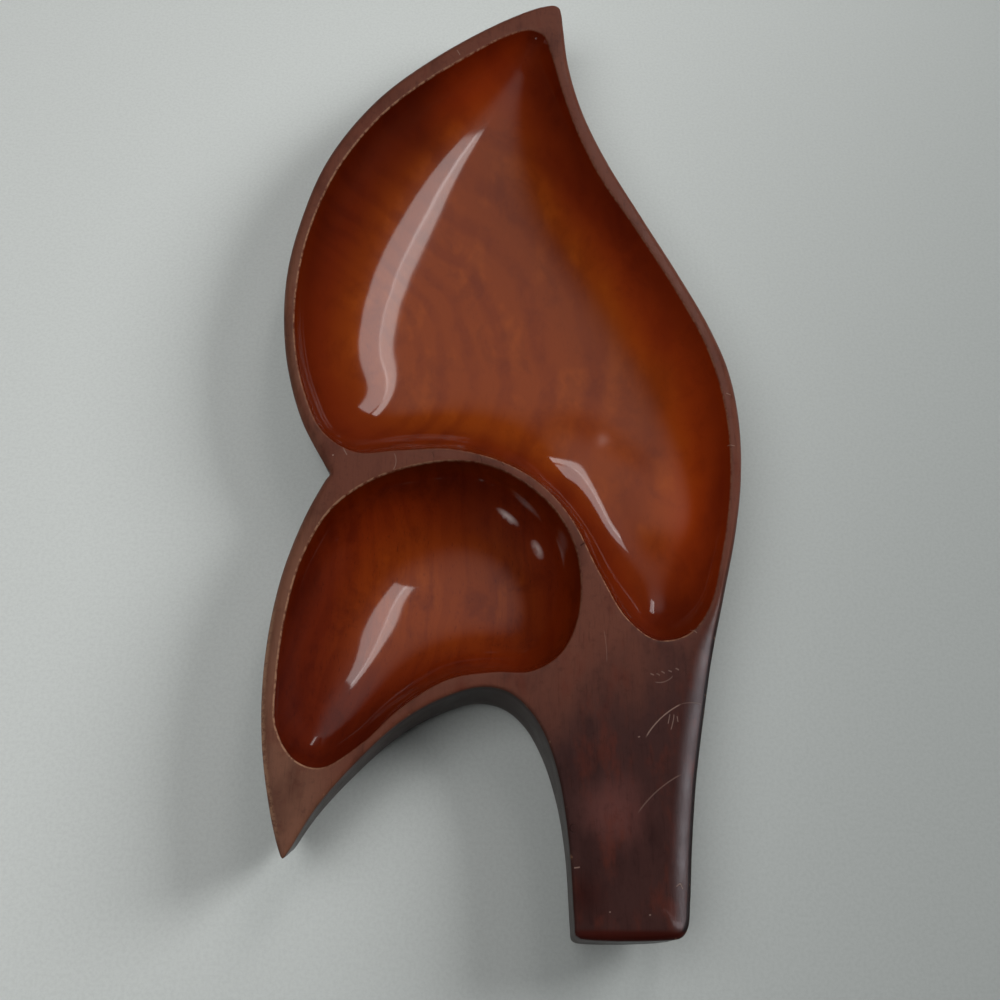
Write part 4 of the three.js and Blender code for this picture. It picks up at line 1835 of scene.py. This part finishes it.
@dataclass
class CarvedDish:
    """The dish: one board with a large and a small hollow and a broad stem for a handle.

    Attributes:
        board: the board around the hollows.
        large: the large hollow.
        small: the small hollow.
        lacquer: finish of the hollows.
        rim: finish of the rim, the handle and the sides.
        wear: rubbed edges and scratches.
        fullness: how steeply the hollows' walls leave the rim.
        arris_fall: how far the mouths' edges are rounded down, in millimetres.
        ripple_height: height of the hand tool's waves, in millimetres.
        ripple_scale: waves a metre.
        seed: picks the waves.
        specular: strength of the wood's own gloss under the lacquer.
        index: index of refraction of the wood's finish and of the lacquer.
        seam: distances in from a mouth over which the rim's finish turns into the hollow's.
        coat_reach: distances in from a mouth over which the lacquer sets in.
        mark_reach: distances in from the outline over which the marks on top set in.
        sheen: noise of the satin finish's roughness.
        sheen_range: how much that noise changes it.
        bare_roughness: how much rougher bare wood is.
        grain: noise of the wood's relief.
        grain_depth: depth of the grain, where a mark's is 1.
        bare_depth: depth of bare wood, where a mark's is 1.
        relief_height: depth of a mark, in metres.
    """

    board: Board = field(default_factory=Board)
    large: Hollow = field(default_factory=large_hollow)
    small: Hollow = field(default_factory=small_hollow)
    lacquer: HollowLacquer = HollowLacquer()
    rim: RimFinish = RimFinish()
    wear: Wear = Wear()
    fullness: float = 0.62
    arris_fall: float = 0.28
    ripple_height: float = 0.12
    ripple_scale: float = 28.0
    seed: float = 3.0
    specular: float = 0.14
    index: float = 1.5
    seam: Span = (-0.35, 0.35)
    coat_reach: Span = (-0.2, 0.5)
    mark_reach: Span = (-1.2, -0.2)
    sheen: Grain = Grain(0.12, roughness=0.5)
    sheen_range: float = 0.2
    bare_roughness: float = 0.25
    grain: Grain = Grain(2.2, stretch=(1.0, 0.12, 1.0))
    grain_depth: float = 0.4
    bare_depth: float = 0.3
    relief_height: float = 0.0002

    def build(self) -> bpy.types.Object:
        """Makes the dish.

        Returns:
            The finished piece.
        """
        buffer = MeshBuffer()
        hollows = {"Large": self.large, "Small": self.small}
        mouths = [hollow.build(buffer, self.board.thickness) for hollow in hollows.values()]
        self.board.build(buffer, mouths)
        piece = add_object("dish_wood", buffer.mesh("dish_wood"))
        settings = {
            "Fullness": self.fullness,
            "Arris Fall": self.arris_fall,
            "Arris Width": Hollow.arris[0],
            "Ripple Height": self.ripple_height,
            "Ripple Scale": self.ripple_scale,
            "Seed": self.seed,
        }
        for name, hollow in hollows.items():
            settings[f"{name} Depth"] = hollow.depth
            settings[f"{name} Reach"] = hollow.reach
            settings[f"{name} Middle"] = (*hollow.middle, 0.0)
            settings[f"{name} Lean"] = (*hollow.lean, 0.0)
        swells = {name: hollow.swells for name, hollow in hollows.items()}
        CarvingTree(self.dress(), swells).apply(piece, settings)
        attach(piece, "root")
        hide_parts("carved_dish")
        return piece

    def dress(self) -> bpy.types.Material:
        """Makes the wood's finish.

        Returns:
            The material.
        """
        material = bpy.data.materials.new("carved_hardwood")
        material.use_nodes = True
        graph = Graph(material.node_tree)
        place = graph.add("ShaderNodeTexCoord", {}, {}, "Object")
        place = graph.scaled(place, (1 / MM, 1 / MM, 1 / MM))

        def read(name: Field) -> Wire:
            """Reads what the surface carries."""
            return graph.add("ShaderNodeAttribute", {"attribute_name": name.value}, {}, "Fac")

        mouth = read(Field.MOUTH)
        edge = read(Field.EDGE)
        hollow_colour = self.lacquer.colour(graph, place, mouth, read(Field.SMALL))
        carved = mouth.ramp(*self.seam)
        colour = graph.blend(carved, self.rim.colour(graph, place, edge), hollow_colour)
        bare = self.wear.rubbed(graph, place, mouth, read(Field.ARRIS), edge)
        top = edge.ramp(*self.mark_reach)
        scratched = self.wear.marks(graph, place, self.wear.light_marks) * top
        nicked = self.wear.marks(graph, place, self.wear.dark_marks) * top
        # Bare wood, which along the mouths also stands for the painted highlight of the arris
        colour = graph.blend(bare, colour, self.rim.bare_and_highlight_tone)
        colour = graph.blend(scratched, colour, self.rim.scratch_tone)
        colour = graph.tint(nicked, colour, self.wear.dark_tone)
        sheen = (self.sheen.on(graph, place) - 0.5) * self.sheen_range
        satin = self.rim.roughness + sheen + bare * self.bare_roughness
        roughness = (satin + (self.lacquer.roughness - satin) * carved).clamp()
        grain = self.grain.on(graph, place) * self.grain_depth
        relief = grain - scratched - nicked - bare * self.bare_depth
        bumping = {"Strength": 0.5, "Distance": self.relief_height, "Height": relief}
        bump = graph.add("ShaderNodeBump", {}, bumping)
        finish = {
            "Base Color": colour,
            "Roughness": roughness,
            "IOR": self.index,
            "Specular IOR Level": self.specular,
            "Normal": bump,
            "Coat Weight": mouth.ramp(*self.coat_reach),
            "Coat Roughness": self.lacquer.coat_roughness,
            "Coat IOR": self.index,
        }
        shader = graph.add("ShaderNodeBsdfPrincipled", {}, finish)
        graph.add("ShaderNodeOutputMaterial", {}, {"Surface": shader})
        return material


def toward(azimuth: float, elevation: float) -> Vector:
    """Direction from the dish, one unit long.

    Args:
        azimuth: its angle from +X towards +Y, in degrees.
        elevation: its angle above the table, in degrees.

    Returns:
        The direction.
    """
    around = math.radians(azimuth)
    above = math.radians(elevation)
    flat = math.cos(above)
    return Vector((flat * math.cos(around), flat * math.sin(around), math.sin(above)))


@dataclass(frozen=True)
class SoftLight:
    """A lamp with a rectangular face, aimed at the dish.

    Attributes:
        name: its name.
        azimuth: direction from the dish, in degrees from +X towards +Y.
        elevation: direction above the table, in degrees.
        distance: distance from the dish, in metres.
        size: width and height of its face, in metres.
        radiance: how bright its face is, where 1 is white.
        tone: its colour.
        reflected: whether the lacquer shows it.
        lighting: whether it lights what is matt.
        aim: the place that it faces, from which its direction counts too.
        spread: full angle of its beam, in degrees, at most 179.
    """

    name: str
    azimuth: float
    elevation: float
    distance: float
    size: Span
    radiance: float
    tone: Colour = (1.0, 1.0, 1.0)
    reflected: bool = True
    lighting: bool = True
    aim: Place = (0.0, 0.0, 0.0)
    spread: float = 179.0

    def build(self) -> None:
        """Places the lamp."""
        data = bpy.data.lights.new(self.name, "AREA")
        data.shape = "RECTANGLE"
        data.size, data.size_y = self.size
        half = math.radians(self.spread) / 2
        data.spread = 2 * half
        beam = 1 - half / math.tan(half)
        data.energy = self.radiance * math.pi * self.size[0] * self.size[1] * beam
        data.color = self.tone
        lamp = add_object(self.name, data)
        away = toward(self.azimuth, self.elevation)
        lamp.location = Vector(self.aim) + away * self.distance
        lamp.rotation_euler = away.to_track_quat("Z", "Y").to_euler()
        lamp.visible_camera = False
        lamp.visible_glossy = self.reflected
        lamp.visible_diffuse = self.lighting


@dataclass
class Studio:
    """Pale floor with painted shade towards the right, a soft sky and the lamps.

    Attributes:
        floor_tone: colour of the floor to the left, where the painted shade is least.
        shaded_floor_tone: colour of the floor to the right, darker as painted shade of the light falling
            off.
        floor_shade_side: where the floor takes on that painted shade.
        speckle: fine noise of the floor.
        speckle_tone: what a speckle multiplies the floor's colour by.
        speckle_height: height of the speckles, in metres.
        floor_size: its half width, in metres.
        floor_drop: how far it lies below the table's height, so that the dish's foot stays clear of it.
        sky_tone: the backdrop as the camera sees it.
        haze_reach: distances from the dish over which the camera sees the floor turn into it.
        dim: radiance of the room round about.
        ceiling: radiance of the bright round of ceiling.
        ceiling_tone: its colour.
        ceiling_toward: azimuth and elevation of its middle, in degrees.
        ceiling_reach: angles from its middle at which it starts and ends to fade, in degrees.
        lamps: the lamps.
    """

    floor_tone: Colour = linear(228, 233, 230)
    shaded_floor_tone: Colour = linear(165, 170, 168)
    floor_shade_side: Side = Side((1.0, -0.35, 0.0), -0.2, 0.34)
    speckle: Grain = Grain(700.0, roughness=0.7, shows=(0.35, 0.7))
    speckle_tone: Colour = (0.93, 0.93, 0.93)
    speckle_height: float = 0.0002
    floor_size: float = 6.0
    floor_drop: float = 0.0002
    sky_tone: Colour = linear(190, 194, 192)
    haze_reach: Span = (0.45, 1.1)
    dim: float = 0.012
    ceiling: float = 0.44
    ceiling_tone: Colour = (1.0, 0.985, 0.98)
    ceiling_toward: Span = (88.0, 56.0)
    ceiling_reach: Span = (0.0, 29.0)
    lamps: tuple[SoftLight, ...] = (
        SoftLight("window_grey", 64.9, 46, 4.0, (0.447, 1.92), 3.2, (1.0, 0.95, 0.95)),
        SoftLight("window_clear", 71.85, 46, 4.0, (0.228, 1.92), 4.6, (1.0, 0.95, 0.94)),
        SoftLight("key", 18, 32, 1.6, (0.7, 0.7), 10.6, reflected=False),
        SoftLight("fill", 200, 62, 1.8, (1.5, 1.5), 2.0, reflected=False),
        SoftLight(
            "handle_strip",
            azimuth=7,
            elevation=24,
            distance=0.2,
            size=(0.16, 0.1),
            radiance=58.0,
            tone=(0.84, 0.92, 1.0),
            lighting=False,
            aim=(0.068, -0.185, 0.03),
            spread=16,
        ),
        SoftLight(
            "far_pane",
            azimuth=-140,
            elevation=39,
            distance=0.8,
            size=(0.4, 0.26),
            radiance=4.5,
            tone=(1.0, 0.93, 0.9),
            lighting=False,
            aim=(0.0, -0.063, 0.016),
            spread=18,
        ),
        SoftLight(
            "far_window",
            azimuth=-177,
            elevation=32,
            distance=0.8,
            size=(0.2, 0.34),
            radiance=3.5,
            tone=(1.0, 0.93, 0.9),
            lighting=False,
            aim=(0.012, -0.075, 0.016),
            spread=18,
        ),
    )

    def build(self) -> None:
        """Makes the floor, the sky and the lamps."""
        self._floor()
        self._sky()
        for lamp in self.lamps:
            lamp.build()

    def _floor(self) -> None:
        """Makes the floor that the dish rests on."""
        mesh = bpy.data.meshes.new("studio_floor")
        half = self.floor_size
        corners = [(-half, -half, 0), (half, -half, 0), (half, half, 0), (-half, half, 0)]
        mesh.from_pydata(corners, [], [(0, 1, 2, 3)])
        floor = add_object("studio_floor", mesh)
        floor.location = (0, 0, -self.floor_drop)
        material = bpy.data.materials.new("matt_paint")
        material.use_nodes = True
        graph = Graph(material.node_tree)
        place = graph.add("ShaderNodeTexCoord", {}, {}, "Object")
        # Painted shade: the floor darkens towards the right and the front
        tone = graph.blend(self.floor_shade_side.on(graph, place), self.floor_tone, self.shaded_floor_tone)
        speckle = self.speckle.on(graph, place)
        tone = graph.tint(speckle.ramp(*self.speckle.shows), tone, self.speckle_tone)
        bumping = {"Strength": 0.2, "Distance": self.speckle_height, "Height": speckle}
        bump = graph.add("ShaderNodeBump", {}, bumping)
        inputs = {"Base Color": tone, "Roughness": 0.8, "Normal": bump}
        paint = graph.add("ShaderNodeBsdfPrincipled", {}, inputs)
        haze = graph.add("ShaderNodeEmission", {}, {"Color": (*self.sky_tone, 1.0)})
        seen = graph.add("ShaderNodeLightPath", {}, {}, "Is Camera Ray")
        far = graph.apart(place, (0.0, 0.0, 0.0)).ramp(*self.haze_reach) * seen
        shader = graph.add("ShaderNodeMixShader", {}, {0: far, 1: paint, 2: haze})
        graph.add("ShaderNodeOutputMaterial", {}, {"Surface": shader})
        mesh.materials.append(material)

    def _sky(self) -> None:
        """Makes the room: dim, with a bright round of ceiling, and pale where the camera sees it."""
        world = bpy.data.worlds.new("studio_sky")
        bpy.context.scene.world = world
        world.use_nodes = True
        graph = Graph(world.node_tree)
        looking = graph.add("ShaderNodeTexCoord", {}, {}, "Generated")
        closeness = graph.along(looking, tuple(toward(*self.ceiling_toward)))
        start, end = (math.cos(math.radians(angle)) for angle in self.ceiling_reach)
        near = closeness.ramp(end, start)
        radiance = near * near * (self.ceiling - self.dim) + self.dim
        glow = {"Color": (*self.ceiling_tone, 1.0), "Strength": radiance}
        room = graph.add("ShaderNodeBackground", {}, glow)
        backdrop = graph.add("ShaderNodeBackground", {}, {"Color": (*self.sky_tone, 1.0)})
        seen = graph.add("ShaderNodeLightPath", {}, {}, "Is Camera Ray")
        mixed = graph.add("ShaderNodeMixShader", {}, {0: seen, 1: room, 2: backdrop})
        graph.add("ShaderNodeOutputWorld", {}, {"Surface": mixed})


@dataclass(frozen=True)
class PhotoCamera:
    """The camera at the photograph's viewing angle.

    Attributes:
        location: where it stands, in metres.
        right: direction of the picture's right side.
        up: direction of the picture's top.
        back: direction away from what it looks at.
        lens: focal length in millimetres.
        sensor: width of the sensor in millimetres.
    """

    location: Place = (-0.03617, -0.28022, 0.44391)
    right: Place = (0.9970, 0.0, 0.0779)
    up: Place = (-0.0363, 0.8850, 0.4643)
    back: Place = (-0.0689, -0.4657, 0.8823)
    lens: float = 42.0
    sensor: float = 36.0

    def build(self) -> None:
        """Places the camera and makes it the scene's."""
        data = bpy.data.cameras.new("photo_camera")
        data.lens = self.lens
        data.sensor_width = self.sensor
        camera = add_object("photo_camera", data)
        turn = Matrix((self.right, self.up, self.back)).transposed().to_4x4()
        camera.matrix_world = Matrix.Translation(self.location) @ turn
        bpy.context.scene.camera = camera


def main() -> None:
    """Builds the dish and its studio."""
    logging.basicConfig(level=logging.INFO, format="%(name)s: %(message)s")
    piece = CarvedDish().build()
    LOG.info("%s: %d faces", piece.name, len(piece.data.polygons))
    Studio().build()
    LOG.info("studio: floor, sky and lamps")
    PhotoCamera().build()
    LOG.info("camera: placed")
    bpy.context.scene.view_settings.view_transform = "Standard"


if __name__ == "__main__":
    main()
